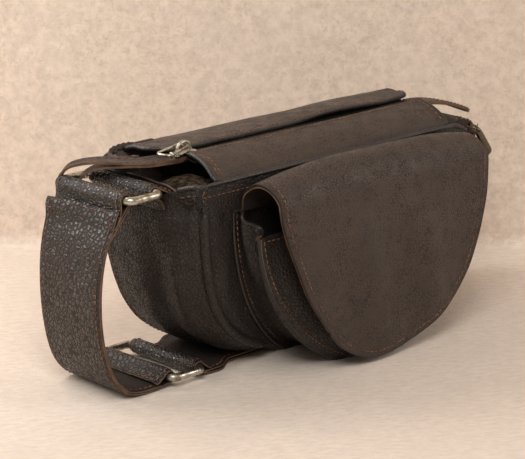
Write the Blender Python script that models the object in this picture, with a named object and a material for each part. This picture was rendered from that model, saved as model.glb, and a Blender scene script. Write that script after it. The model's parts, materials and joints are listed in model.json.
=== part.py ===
"""Belt bag: a half-moon leather bag with a zip top, a flap pocket and a wide strap.

Metres, +Z up. X runs along the bag, -Y is the pocket side, and the floor is z = 0.
y = 0 is the middle of the strap and x = 0 is the middle of the bag.
"""
import bmesh
import bpy
from math import acos, atan2, cos, hypot, pi, radians, sin
from mathutils import Matrix, Vector

# Leather, lining and clearances
PANEL_THICK = 0.0024
POCKET_THICK = 0.0022
FLAP_THICK = 0.0024
LINING_THICK = 0.0008
SEAM_GAP = 0.0003
LINING_GAP = 0.0008

# Strap and its rings
STRAP_WIDTH = 0.060
STRAP_THICK = 0.0036
FOLD_GAP = 0.0004
WIRE_RADIUS = 0.0025
WIRE_PLAY = 0.0005
RING_PITCH = 0.024
RING_SIDE_PLAY = 0.0007
RING_CORNER = 0.004

# Bag body
BODY_HALF_LENGTH = 0.132
BODY_TOP = 0.128
BACK_RISE = 0.003
GUSSET_DROP = 0.009
GUSSET_BULGE = 0.0025
GUSSET_SECTION_SHARES = ((0.0, 0.0), (0.26, 0.0), (0.52, 0.0), (0.78, 0.0), (0.9, 0.3), (1.0, 1.0))
FRONT_SETBACK = 0.007
FRONT_DROP = 0.0025
FRONT_TOP_Y = -0.049
FRONT_FOOT_Y = -0.027
FRONT_UNDERCUT = 0.002
BODY_POWER = 3.0
FRONT_POWER = 2.6
WELT_RADIUS = 0.0028
WELT_DROP = 0.0135
WELT_FOOT = 0.0045

# Top panels and zip
ZIP_Y = -0.0125
ZIP_RISE = 0.0072
ZIP_END_SPACE = 0.034
ZIP_CHAIN_TAIL = 0.014
ZIP_SLOT_HALF = 0.0052
TAPE_THICK = 0.0007
TAPE_WIDTH = 0.0100
TOOTH_PITCH = 0.00127
TOOTH_LENGTH = 0.00092
TOOTH_HEIGHT = 0.0026
TOOTH_REACH = 0.0009
TOOTH_NECK = 0.0017
TOOTH_ROOT = 0.0028
TOP_FRONT_TAPER = 0.005
TOP_REAR_END_GAP = 0.001
TOP_REAR_TAPER = 0.002
TOP_REAR_RISE = 0.0004
TOP_CROWN = 0.0015
END_LINING_SAG = 0.0015
END_LINING_DROP = 0.010

# Slider and its puller
SLIDER_STOP = 0.0085
SLIDER_LENGTH = 0.0165
SLIDER_HALF_WIDTH = 0.0044
SLIDER_PLATE = 0.0012
SLIDER_RUN_GAP = 0.0003
SLIDER_FLANGE = 0.0008
BRIDGE_LENGTH = 0.0105
BRIDGE_HEIGHT = 0.0052
BRIDGE_WIRE = 0.0013
PULLER_LENGTH = 0.021
PULLER_HALF_WIDTH = 0.0052
PULLER_WIRE = 0.0008
PULLER_YAW = radians(12.0)
PULLER_DROOP = radians(5.0)

# Zip end tabs
TAB_WIDTH = 0.014
TAB_LAYER = 0.0018
TAB_RISE = 0.0024
TAB_BEND_RADIUS = 0.020
TAB_LOOP_REACH = 0.058
TAB_LOOP_DROP = 0.017
TAB_LOOP_TURN = radians(50.0)
TAB_RIGHT_REACH = 0.044
TAB_RIGHT_DROP = 0.016

# Pocket on the front
POCKET_HALF_LENGTH = 0.093
POCKET_BACK_DROP = 0.004
POCKET_FRONT_DROP = 0.014
POCKET_FRONT_Y = -0.067
POCKET_FULLNESS = 0.009
POCKET_POWER = 1.75
POCKET_UNDERCUT = 0.003

# Flap over the pocket
FLAP_INSET = 0.001
FLAP_TIP_HALF = 0.006
FLAP_LEFT_SHOULDER_POWER = 1.42
FLAP_LEFT_FULL_POWER = 1.667
FLAP_RIGHT_SHOULDER_POWER = 2.7
FLAP_RIGHT_FULL_POWER = 1.136
FLAP_ARCH_DROP = 0.0155
FLAP_ARCH_DEPTH = 0.0174
FLAP_ARCH_RISE = 0.0215
FLAP_TIP_Z = 0.0028
FLAP_FULLNESS = 0.0010
FLAP_HINGE_TURN = radians(44.0)
FLAP_HINGE_GAP = radians(2.0)
FLAP_WIDEST_RISE = 0.003
MAGNET_RADIUS = 0.0085
MAGNET_Z = 0.050

# Strap route
BAR_STANDOFF = 0.008
BAR_LEFT_RISE = 0.003
BAR_RIGHT_DROP = 0.005
LEFT_RING_RISE = radians(0.0)
RIGHT_RING_DROP = radians(53.0)
LOOP_BULGE = 0.0505
STRAP_SHIFT = 0.008
STRAP_SPLIT_X = 0.061
STRAP_SPLIT_GAP = 0.0006
STRAP_TAIL = 0.017
LOOP_TAIL = 0.021
LOOP_OUTER_TAIL = 0.004
LOOP_RIGHT_INSET = 0.006

BACK_TOP = BODY_TOP + BACK_RISE
GUSSET_TOP = BODY_TOP - GUSSET_DROP
FRONT_TOP = BODY_TOP - FRONT_DROP
FRONT_HALF_LENGTH = BODY_HALF_LENGTH - FRONT_SETBACK
WELT_TOP = FRONT_TOP - WELT_DROP
ZIP_Z = BODY_TOP + ZIP_RISE
ZIP_HALF_LENGTH = BODY_HALF_LENGTH - ZIP_END_SPACE
ZIP_CHAIN_LEFT = ZIP_HALF_LENGTH + ZIP_CHAIN_TAIL
TOP_FRONT_HALF = ZIP_HALF_LENGTH - TOP_FRONT_TAPER
TOP_REAR_BACK_HALF = BODY_HALF_LENGTH - TOP_REAR_END_GAP
TOP_REAR_ZIP_HALF = ZIP_HALF_LENGTH - TOP_REAR_TAPER
SLIDER_X = SLIDER_STOP - ZIP_CHAIN_LEFT
TAB_TOP = ZIP_Z + TAB_RISE
BAG_BAR_X = BODY_HALF_LENGTH + BAR_STANDOFF
BAG_BAR_LEFT_Z = GUSSET_TOP + BAR_LEFT_RISE
BAG_BAR_RIGHT_Z = GUSSET_TOP - BAR_RIGHT_DROP
FLAP_HALF_LENGTH = POCKET_HALF_LENGTH - FLAP_INSET
FLAP_ARCH_Z = FRONT_TOP - FLAP_ARCH_DROP
FLAP_WIDEST_Z = FLAP_ARCH_Z + FLAP_WIDEST_RISE
POCKET_BACK_TOP = FLAP_ARCH_Z - POCKET_BACK_DROP
POCKET_FRONT_TOP = POCKET_BACK_TOP - POCKET_FRONT_DROP
LOWER_RING_X = -BODY_HALF_LENGTH
LOOP_BULGE_X = -BODY_HALF_LENGTH - LOOP_BULGE

REAR_Y = STRAP_WIDTH / 2
TUBE_BORE = WIRE_RADIUS + WIRE_PLAY
TUBE_LINE = TUBE_BORE + STRAP_THICK / 2
BASE_Z = STRAP_THICK + SEAM_GAP
FLAP_ARCH_Y = FRONT_TOP_Y - SEAM_GAP - FLAP_ARCH_DEPTH
SIDES = ((-1, "left"), (1, "right"))

LEATHER = ("leather", (0.055, 0.034, 0.026), 0.5, 0.0)
STRAP_LEATHER = ("strap_leather", (0.045, 0.028, 0.022), 0.35, 0.0)
LINING = ("lining", (0.16, 0.11, 0.07), 0.9, 0.0)
TAPE = ("zip_tape", (0.02, 0.017, 0.015), 0.9, 0.0)
NICKEL = ("nickel", (0.46, 0.42, 0.36), 0.3, 1.0)


def clear_scene():
    for item in list(bpy.data.objects):
        bpy.data.objects.remove(item, do_unlink=True)


def material(look):
    """Return the Principled material of this look, made on first use."""
    name, colour, roughness, metallic = look
    found = bpy.data.materials.get(name)
    if found:
        return found
    made = bpy.data.materials.new(name)
    made.use_nodes = True
    shader = made.node_tree.nodes["Principled BSDF"]
    shader.inputs["Base Color"].default_value = (*colour, 1.0)
    shader.inputs["Roughness"].default_value = roughness
    shader.inputs["Metallic"].default_value = metallic
    made.diffuse_color = (*colour, 1.0)
    return made


def add_mesh(name, points, faces, look, closed=True):
    """Make one named object from points and faces; a closed one has its faces turned out."""
    mesh = bpy.data.meshes.new(name)
    mesh.from_pydata([tuple(p) for p in points], [], faces)
    if closed:
        work = bmesh.new()
        work.from_mesh(mesh)
        bmesh.ops.recalc_face_normals(work, faces=work.faces)
        work.to_mesh(mesh)
        work.free()
    made = bpy.data.objects.new(name, mesh)
    bpy.context.collection.objects.link(made)
    mesh.materials.append(material(look))
    return made


def grid_faces(rows, columns):
    return [(i * columns + j, i * columns + j + 1, (i + 1) * columns + j + 1, (i + 1) * columns + j)
            for i in range(rows - 1) for j in range(columns - 1)]


def sheet(name, grid, thickness, look, growth):
    """A grid of points, thickened by a Solidify modifier.

    growth is 1 to thicken towards column direction x row direction, or -1 for the other side.
    """
    points = [p for row in grid for p in row]
    made = add_mesh(name, points, grid_faces(len(grid), len(grid[0])), look, closed=False)
    thick = made.modifiers.new("leather", "SOLIDIFY")
    thick.thickness = thickness
    thick.offset = growth
    thick.use_even_offset = True
    return made


def loft(name, rings, look, walled=False):
    """Join equal rings of points into one closed body.

    A walled ring is an outer line and then its inner line back, so its ends close across the wall.
    """
    count = len(rings[0])
    points = [p for ring in rings for p in ring]
    faces = [(i * count + j, i * count + (j + 1) % count,
              (i + 1) * count + (j + 1) % count, (i + 1) * count + j)
             for i in range(len(rings) - 1) for j in range(count)]
    for start in (0, (len(rings) - 1) * count):
        if walled:
            faces += [(start + j, start + j + 1, start + count - 2 - j, start + count - 1 - j)
                      for j in range(count // 2 - 1)]
        else:
            faces.append(tuple(range(start, start + count)))
    return add_mesh(name, points, faces, look)


def tube(name, route, radius, look, closed=False, sides=2):
    """A round wire along a route: a bevelled curve, turned into a mesh."""
    curve = bpy.data.curves.new(name, "CURVE")
    curve.dimensions = "3D"
    curve.bevel_depth = radius
    curve.bevel_resolution = sides
    curve.use_fill_caps = not closed
    line = curve.splines.new("POLY")
    line.points.add(len(route) - 1)
    for place, target in zip(line.points, route):
        place.co = (*target, 1.0)
    line.use_cyclic_u = closed
    guide = bpy.data.objects.new(name + "_guide", curve)
    bpy.context.collection.objects.link(guide)
    mesh = bpy.data.meshes.new_from_object(guide)
    bpy.data.objects.remove(guide, do_unlink=True)
    work = bmesh.new()
    work.from_mesh(mesh)
    bmesh.ops.remove_doubles(work, verts=work.verts, dist=SEAM_GAP / 10)
    bmesh.ops.recalc_face_normals(work, faces=work.faces)
    work.to_mesh(mesh)
    work.free()
    made = bpy.data.objects.new(name, mesh)
    bpy.context.collection.objects.link(made)
    mesh.materials.clear()
    mesh.materials.append(material(look))
    return made


def arc(centre, radius, start, end, steps):
    """Points on an arc in the X-Z plane, angles from +X towards +Z."""
    angles = [start + (end - start) * i / steps for i in range(steps + 1)]
    return [Vector((centre[0] + radius * cos(a), centre[1] + radius * sin(a))) for a in angles]


def spline(knots, steps):
    """A smooth line through the knots, with its ends kept."""
    ends = [knots[0] * 2 - knots[1], *knots, knots[-1] * 2 - knots[-2]]
    line = []
    for a, b, c, d in zip(ends, ends[1:], ends[2:], ends[3:]):
        for i in range(steps):
            t = i / steps
            line.append((b * 2 + (c - a) * t + (a * 2 - b * 5 + c * 4 - d) * t * t
                         + (b * 3 - a - c * 3 + d) * t * t * t) / 2)
    line.append(knots[-1])
    return line


def resample(line, count):
    """The same line with its points evenly spaced."""
    lengths = [0.0]
    for a, b in zip(line, line[1:]):
        lengths.append(lengths[-1] + (b - a).length)
    spaced = []
    k = 0
    for i in range(count):
        goal = lengths[-1] * i / (count - 1)
        while k < len(line) - 2 and lengths[k + 1] < goal:
            k += 1
        span = max(lengths[k + 1] - lengths[k], 1e-12)
        spaced.append(line[k].lerp(line[k + 1], min(max((goal - lengths[k]) / span, 0.0), 1.0)))
    return spaced


def normals(line):
    """Unit normals of a line in its own plane, to the left of its direction."""
    found = []
    for i in range(len(line)):
        run = line[min(i + 1, len(line) - 1)] - line[max(i - 1, 0)]
        found.append(Vector((-run.y, run.x)).normalized())
    return found


def band(name, line, thickness, low_y, high_y, look):
    """A flat strip of leather: a line in X-Z, thickened, between two sides.

    low_y and high_y are each one value, or one value for each point of the line.
    """
    lows = low_y if isinstance(low_y, list) else [low_y] * len(line)
    highs = high_y if isinstance(high_y, list) else [high_y] * len(line)
    rings = []
    for p, n, low, high in zip(line, normals(line), lows, highs):
        left = p + n * thickness / 2
        right = p - n * thickness / 2
        rings.append([(left.x, low, left.y), (left.x, high, left.y),
                      (right.x, high, right.y), (right.x, low, right.y)])
    return loft(name, rings, look)


def half_moon(half, top, drop, power, floor, count):
    """The half-moon outline, from its top left corner round to its top right one."""
    line = []
    steps = 720
    for i in range(steps + 1):
        turn = pi * i / steps
        across = -half * (1 if cos(turn) > 0 else -1) * abs(cos(turn)) ** (2 / power)
        line.append(Vector((across, max(top - drop * sin(turn) ** (2 / power), floor))))
    return resample(line, count)


def half_width(z, half, top, drop, power):
    depth = min(max((top - z) / drop, 0.0), 1.0)
    return half * (1.0 - depth ** power) ** (1.0 / power)


def front_y(z):
    """The bag's front face leans out towards its top, fast at the foot."""
    share = min(max(z, 0.0) / FRONT_TOP, 1.0)
    return FRONT_FOOT_Y + (FRONT_TOP_Y - FRONT_FOOT_Y) * (1.0 - (1.0 - share) ** 2)


def front_inner_y(z):
    """The inner side of the front panel, which is thickened square to its face."""
    share = min(max(z, 0.0) / FRONT_TOP, 1.0)
    slope = (FRONT_TOP_Y - FRONT_FOOT_Y) * 2 * (1.0 - share) / FRONT_TOP
    return front_y(z) + PANEL_THICK * hypot(1.0, slope)


def set_pivot(name, pivot, pieces):
    """Hang moving pieces on an empty that stands on their joint's axis."""
    stand = bpy.data.objects.new(name, None)
    bpy.context.collection.objects.link(stand)
    stand.location = pivot
    for piece in pieces:
        piece.data.transform(Matrix.Translation(-Vector(pivot)))
        piece.parent = stand
    return stand


def body_panels():
    """Back, front and the long gusset between them, each with its lining."""
    outline = half_moon(BODY_HALF_LENGTH, BODY_TOP, BODY_TOP, BODY_POWER, BASE_Z, 49)
    back = [Vector((-BODY_HALF_LENGTH, BACK_TOP)), *outline, Vector((BODY_HALF_LENGTH, BACK_TOP))]
    loft("back_panel", [[(p.x, REAR_Y, p.y) for p in back],
                        [(p.x, REAR_Y - PANEL_THICK, p.y) for p in back]], LEATHER)

    rows = []
    for i in range(15):
        z = FRONT_TOP * (1.0 - i / 14)
        half = half_width(z, FRONT_HALF_LENGTH, FRONT_TOP, FRONT_TOP + FRONT_UNDERCUT, FRONT_POWER)
        rows.append([(half * (j / 8 - 1), front_y(z), z) for j in range(17)])
    sheet("front_panel", rows, PANEL_THICK, LEATHER, 1)


def gusset_ring(rear, front, wall, inset):
    """One cross-section of a gusset: its outer side, then its inner side back."""
    rear_point, rear_out = rear
    front_point, front_out = front
    rear_edge = REAR_Y - PANEL_THICK - SEAM_GAP
    low = GUSSET_TOP - LOOP_TAIL - STRAP_THICK
    swell = min(max((low - rear_point.y) / low, 0.0), 1.0) * abs(rear_out.x)
    outer = []
    inner = []
    for share, turn_in in GUSSET_SECTION_SHARES:
        bulge = GUSSET_BULGE * 4 * share * (1 - share) * swell
        middle = rear_point.lerp(front_point, turn_in)
        out = rear_out.lerp(front_out, turn_in).normalized()
        for line, depth in ((outer, inset), (inner, inset + wall)):
            p = middle + out * (bulge - depth)
            z = max(p.y, BASE_Z + depth)
            front_edge = front_inner_y(z) + SEAM_GAP
            line.append((p.x, rear_edge + (front_edge - rear_edge) * share, z))
    return outer + inner[::-1]


def cut_at(line, top):
    """Keep the part of a half-moon line that lies below a height, with even points."""
    kept = [p for p in line if p.y < top]
    return [Vector((kept[0].x, top)), *kept, Vector((kept[-1].x, top))]


def gusset():
    count = 57
    rear = half_moon(BODY_HALF_LENGTH, BODY_TOP, BODY_TOP, BODY_POWER, BASE_Z, 240)
    front = half_moon(FRONT_HALF_LENGTH, FRONT_TOP, FRONT_TOP, FRONT_POWER, BASE_Z, 240)
    lining_top = GUSSET_TOP - LOOP_TAIL - STRAP_THICK
    for name, wall, inset, tops, look in (
            ("gusset", PANEL_THICK, 0.0, (GUSSET_TOP, FRONT_TOP - SEAM_GAP), LEATHER),
            ("gusset_lining", LINING_THICK, PANEL_THICK + LINING_GAP, (lining_top, lining_top), LINING)):
        lines = []
        for line, top in zip((rear, front), tops):
            even = resample(cut_at(line, top), count)
            lines.append(list(zip(even, [-n for n in normals(even)])))
        loft(name, [gusset_ring(r, f, wall, inset) for r, f in zip(*lines)], look, walled=True)


def welts():
    """The rolled pleat that stands up along each front seam."""
    line = half_moon(FRONT_HALF_LENGTH, FRONT_TOP, FRONT_TOP, FRONT_POWER, 0.0, 240)
    reach = WELT_RADIUS + SEAM_GAP
    for side, word in SIDES:
        half = [p for p in line if p.x * side > 0 and WELT_FOOT < p.y < WELT_TOP]
        route = []
        for p in resample(half, 18):
            inside = Vector((p.x - side * WELT_RADIUS, p.y))
            route.append((inside.x, front_y(inside.y) - reach, inside.y))
        tube("seam_welt_" + word, route, WELT_RADIUS, LEATHER)


def top_front_z(y):
    """Outer face of the front top panel, from the front edge up to the zip."""
    edge = ZIP_Y - ZIP_SLOT_HALF
    zip_z = ZIP_Z + TAPE_THICK / 2 + SEAM_GAP + PANEL_THICK
    share = (y - FRONT_TOP_Y) / (edge - FRONT_TOP_Y)
    low = FRONT_TOP + SEAM_GAP + PANEL_THICK
    return low + (zip_z - low) * share + TOP_CROWN * 4 * share * (1 - share)


def top_rear_z(y):
    """Outer face of the rear top panel, from the back edge up to the zip."""
    edge = ZIP_Y + ZIP_SLOT_HALF
    zip_z = ZIP_Z + TAPE_THICK / 2 + SEAM_GAP + PANEL_THICK + TOP_REAR_RISE
    share = (REAR_Y - y) / (REAR_Y - edge)
    low = BACK_TOP + SEAM_GAP + PANEL_THICK
    return low + (zip_z - low) * share + TOP_CROWN * 4 * share * (1 - share)


def top_panels():
    front_edge = ZIP_Y - ZIP_SLOT_HALF
    rows = []
    for i in range(7):
        share = i / 6
        y = FRONT_TOP_Y + (front_edge - FRONT_TOP_Y) * share
        half = TOP_FRONT_HALF + (ZIP_HALF_LENGTH - TOP_FRONT_HALF) * share
        rows.append([(half * (j / 10 - 1), y, top_front_z(y)) for j in range(21)])
    sheet("top_panel_front", rows, PANEL_THICK, LEATHER, -1)

    rear_edge = ZIP_Y + ZIP_SLOT_HALF
    rows = []
    for i in range(8):
        share = i / 7
        y = REAR_Y + (rear_edge - REAR_Y) * share
        half = TOP_REAR_BACK_HALF + (TOP_REAR_ZIP_HALF - TOP_REAR_BACK_HALF) * share
        rows.append([(half * (j / 12 - 1), y, top_rear_z(y)) for j in range(25)])
    sheet("top_panel_rear", rows, PANEL_THICK, LEATHER, 1)


def zip_tapes():
    """Two woven tapes: flat at the teeth, then down under the panels."""
    for side, word in ((-1, "front"), (1, "rear")):
        rows = []
        for i in range(6):
            reach = TOOTH_ROOT + SEAM_GAP + TAPE_WIDTH * i / 5
            y = ZIP_Y + side * reach
            z = ZIP_Z + TAPE_THICK / 2
            if reach > ZIP_SLOT_HALF:
                cover = top_front_z(y) if side < 0 else top_rear_z(y)
                z = min(z, cover - PANEL_THICK * 1.1 - SEAM_GAP)
            left = -ZIP_CHAIN_LEFT if i == 0 or reach < ZIP_SLOT_HALF else -ZIP_HALF_LENGTH
            right = ZIP_HALF_LENGTH
            rows.append([(left + (right - left) * j / 12, y, z) for j in range(13)])
        sheet("zip_tape_" + word, rows, TAPE_THICK, TAPE, -side)


def zip_teeth():
    """Two combs of teeth, each on the cord of its tape, that reach past each other."""
    length = ZIP_CHAIN_LEFT + ZIP_HALF_LENGTH
    count = int(length / TOOTH_PITCH / 2)
    for side, word in ((-1, "front"), (1, "rear")):
        first = -ZIP_CHAIN_LEFT + TOOTH_PITCH * (0.5 if side < 0 else 1.5)
        line = [Vector((-ZIP_CHAIN_LEFT, TOOTH_ROOT)), Vector((-ZIP_CHAIN_LEFT, TOOTH_NECK))]
        for k in range(count):
            x = first + TOOTH_PITCH * 2 * k
            line += [Vector((x + TOOTH_LENGTH * share, out))
                     for share, out in ((-0.5, TOOTH_NECK), (-0.42, -TOOTH_REACH),
                                        (0.42, -TOOTH_REACH), (0.5, TOOTH_NECK))]
        line += [Vector((ZIP_HALF_LENGTH, TOOTH_NECK)), Vector((ZIP_HALF_LENGTH, TOOTH_ROOT))]
        loft("zip_teeth_" + word, [[(p.x, ZIP_Y + side * p.y, ZIP_Z + TOOTH_HEIGHT / 2 * face) for p in line]
                                   for face in (1, -1)], NICKEL)


def linings():
    """Cloth inside the back and front, and under the top beside each end of the zip."""
    top = GUSSET_TOP - LOOP_TAIL - STRAP_THICK
    inset = PANEL_THICK + LINING_GAP + LINING_THICK + LINING_GAP
    outline = half_moon(BODY_HALF_LENGTH - inset, BODY_TOP, BODY_TOP - inset, BODY_POWER, BASE_Z + inset, 49)
    outline = cut_at(outline, top)
    y = REAR_Y - PANEL_THICK - LINING_GAP
    loft("back_lining", [[(p.x, y, p.y) for p in outline],
                         [(p.x, y - LINING_THICK, p.y) for p in outline]], LINING)
    rows = []
    for i in range(12):
        z = top + (BASE_Z + inset - top) * i / 11
        half = half_width(z, FRONT_HALF_LENGTH - inset, FRONT_TOP, FRONT_TOP - inset, FRONT_POWER)
        rows.append([(half * (j / 6 - 1), front_inner_y(z) + LINING_GAP, z) for j in range(13)])
    sheet("front_lining", rows, LINING_THICK, LINING, 1)

    for side, word in SIDES:
        rows = []
        low = GUSSET_TOP - END_LINING_DROP
        far_x = half_width(low, FRONT_HALF_LENGTH, FRONT_TOP, FRONT_TOP, FRONT_POWER) - PANEL_THICK * 2
        for i in range(5):
            share = i / 4
            x = side * (TOP_FRONT_HALF + (far_x - TOP_FRONT_HALF) * share)
            near = front_inner_y(low) + LINING_GAP
            far = REAR_Y - PANEL_THICK - LINING_GAP
            sag = END_LINING_SAG * sin(pi * share)
            rows.append([(x, near + (far - near) * j / 6, low - sag) for j in range(7)])
        sheet("end_lining_" + word, rows, LINING_THICK, LINING, side)


def box(name, low, high, look):
    points = [(x, y, z) for x in (low[0], high[0]) for y in (low[1], high[1]) for z in (low[2], high[2])]
    faces = [(0, 1, 3, 2), (4, 6, 7, 5), (0, 4, 5, 1), (2, 3, 7, 6), (0, 2, 6, 4), (1, 5, 7, 3)]
    return add_mesh(name, points, faces, look)


def slider_outline(half_width, nose_share):
    """Seen from above: wide shoulders at the closed end, narrower at the other."""
    half = SLIDER_LENGTH / 2
    tail = half_width * nose_share
    side = [Vector((half, tail)), Vector((half * 0.1, tail))]
    side += [Vector((-half * 0.2 - half * 0.6 * sin(t), tail + (half_width - tail) * sin(t)))
             for t in (pi / 6, pi / 3, pi / 2)]
    side.append(Vector((-half, half_width * 0.72)))
    return side + [Vector((p.x, -p.y)) for p in reversed(side)]


def slider():
    """Top plate with its flanges and bridge, the lower plate, and the puller."""
    pivot = Vector((SLIDER_X, ZIP_Y, ZIP_Z))
    outline = slider_outline(SLIDER_HALF_WIDTH, 0.8)
    top_low = TOOTH_HEIGHT / 2 + SLIDER_RUN_GAP
    skirt = TAPE_THICK / 2 + SLIDER_RUN_GAP
    rim = [Vector((p.x, p.y * (1 - SLIDER_FLANGE / SLIDER_HALF_WIDTH))) for p in outline]

    def level(line, z):
        return [(pivot.x + p.x, pivot.y + p.y, pivot.z + z) for p in line]

    count = len(outline)
    plate_top = top_low + SLIDER_PLATE
    layers = [level([p * 0.92 for p in outline], plate_top), level(outline, plate_top - SLIDER_PLATE * 0.3),
              level(outline, skirt)]
    plate = loft("zip_slider", layers, NICKEL)
    channel_half = TOOTH_ROOT + SLIDER_RUN_GAP
    cutter = box("slider_channel",
                 (pivot.x - SLIDER_LENGTH, pivot.y - channel_half, pivot.z - SLIDER_PLATE),
                 (pivot.x + SLIDER_LENGTH, pivot.y + channel_half, pivot.z + top_low), NICKEL)
    cutter.hide_render = True
    cutter.display_type = "WIRE"
    cut = plate.modifiers.new("channel", "BOOLEAN")
    cut.operation = "DIFFERENCE"
    cut.solver = "EXACT"
    cut.object = cutter

    lower_top = -TOOTH_HEIGHT / 2 - SLIDER_RUN_GAP
    base = loft("zip_slider_base", [level(outline, lower_top), level([p * 0.94 for p in outline],
                                                                     lower_top - SLIDER_PLATE)], NICKEL)

    foot_z = pivot.z + plate_top + SEAM_GAP / 2
    reach = BRIDGE_LENGTH / 2
    crown = arc((pivot.x, foot_z), reach, pi, 0.0, 16)
    arch = [Vector((p.x, foot_z + (p.y - foot_z) * BRIDGE_HEIGHT / reach)) for p in crown]
    bridge = band("zip_slider_bridge", arch, BRIDGE_WIRE, pivot.y - BRIDGE_WIRE, pivot.y + BRIDGE_WIRE,
                  NICKEL)
    set_pivot("slider_pivot", pivot, [plate, cutter, base, bridge])

    under_crown = BRIDGE_HEIGHT - BRIDGE_WIRE / 2 - SEAM_GAP
    eye = Vector((pivot.x, pivot.y, foot_z + under_crown - PULLER_WIRE))
    turn = Matrix.Rotation(PULLER_YAW, 3, "Z") @ Matrix.Rotation(-PULLER_DROOP, 3, "Y")
    corner = PULLER_HALF_WIDTH * 0.6
    flat = [(0.0, -PULLER_HALF_WIDTH), (0.0, PULLER_HALF_WIDTH)]
    flat += [(-PULLER_LENGTH + corner - corner * sin(t), PULLER_HALF_WIDTH - corner + corner * cos(t))
             for t in (0.0, pi / 8, pi / 4, 3 * pi / 8, pi / 2)]
    flat += [(-PULLER_LENGTH + corner - corner * cos(t), -PULLER_HALF_WIDTH + corner - corner * sin(t))
             for t in (0.0, pi / 8, pi / 4, 3 * pi / 8, pi / 2)]
    route = [eye + turn @ Vector((x, y, 0.0)) for x, y in flat]
    puller = tube("zip_puller", route, PULLER_WIRE, NICKEL, closed=True)
    set_pivot("puller_pivot", eye, [puller])


def tab_layers(route, widths, turn, pivot, name):
    """A strip of leather along a route in its own upright plane."""
    rings = []
    for p, n, half in zip(route, normals(route), widths):
        ring = []
        for lift, out in ((1, -1), (1, 1), (-1, 1), (-1, -1)):
            q = p + n * lift * TAB_LAYER / 2
            flat = Matrix.Rotation(turn, 3, "Z") @ Vector((q.x, out * half, q.y))
            ring.append(pivot + flat)
        rings.append(ring)
    return loft(name, rings, LEATHER)


def end_tabs():
    """Leather tabs that hold the zip's ends: a fixed root and a free part each."""
    root_low = TAB_TOP - TAB_LAYER * 2
    half = TAB_WIDTH / 2
    start = Vector((-ZIP_CHAIN_LEFT - SEAM_GAP, ZIP_Y))
    rings = []
    for i in range(7):
        a = TAB_LOOP_TURN * i / 6
        middle = start + Vector((-sin(a), 1 - cos(a))) * TAB_BEND_RADIUS
        across = Vector((sin(a), cos(a))) * half
        rings.append([(*(middle - across), root_low), (*(middle + across), root_low),
                      (*(middle + across), TAB_TOP), (*(middle - across), TAB_TOP)])
    loft("zip_tab_root_left", rings, LEATHER)
    box("zip_tab_root_right", (ZIP_HALF_LENGTH + SEAM_GAP, ZIP_Y - half, root_low),
        (ZIP_HALF_LENGTH + TAB_WIDTH, ZIP_Y + half, TAB_TOP), LEATHER)

    onward = Vector((-cos(TAB_LOOP_TURN), sin(TAB_LOOP_TURN)))
    foot = middle + onward * SEAM_GAP
    pivot = Vector((foot.x, foot.y, TAB_TOP + SEAM_GAP))
    reach = TAB_LOOP_REACH
    drop = TAB_LOOP_DROP
    upper = TAB_LAYER * 0.5 + SEAM_GAP / 2
    shares = ((0.0, 0.0), (-0.3, 0.06), (-0.6, 0.05), (-0.9, -0.06), (-0.985, -0.45), (-1.0, -0.85),
              (-0.985, -1.0), (-0.96, -0.8), (-0.94, -0.42), (-0.87, -0.03), (-0.6, 0.0), (-0.3, 0.0),
              (0.0, 0.0))
    layers = (1, 1, 1, 1, 0, 0, 0, 0, 0, -1, -1, -1, -1)
    seat = TAB_LAYER + SEAM_GAP
    knots = [Vector((reach * along, drop * up + upper * layer - seat))
             for (along, up), layer in zip(shares, layers)]
    route = spline(knots, 4)
    loop = tab_layers(route, [half] * len(route), -TAB_LOOP_TURN, pivot, "zip_tab_loop_left")
    set_pivot("tab_left_pivot", pivot, [loop])

    pivot = Vector((ZIP_HALF_LENGTH + TAB_WIDTH + SEAM_GAP, ZIP_Y, TAB_TOP + SEAM_GAP))
    shares = ((0.0, 0.0), (0.4, -0.09), (0.75, -0.46), (1.0, -1.0))
    route = spline([Vector((TAB_RIGHT_REACH * along, TAB_RIGHT_DROP * up - seat)) for along, up in shares], 5)
    widths = [half * (1 - 0.3 * i / len(route)) for i in range(len(route))]
    end = tab_layers(route, widths, 0.0, pivot, "zip_tab_end_right")
    set_pivot("tab_right_pivot", pivot, [end])


def ring(name, centre, tilt):
    """A rounded rectangle of wire, with its long bars along Y."""
    half_y = STRAP_WIDTH / 2 + RING_SIDE_PLAY + WIRE_RADIUS
    half_x = RING_PITCH / 2
    straight_x = half_x - RING_CORNER
    straight_y = half_y - RING_CORNER
    route = []
    for quarter in range(4):
        middle = pi / 2 * quarter
        corner = (straight_x * (1 if quarter in (0, 3) else -1), straight_y * (1 if quarter < 2 else -1))
        for i in range(6):
            a = middle + pi / 2 * i / 5
            flat = Vector((corner[0] + RING_CORNER * cos(a), corner[1] + RING_CORNER * sin(a), 0.0))
            route.append(centre + Matrix.Rotation(-tilt, 3, "Y") @ flat)
    return tube(name, route, WIRE_RADIUS, NICKEL, closed=True)


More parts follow.
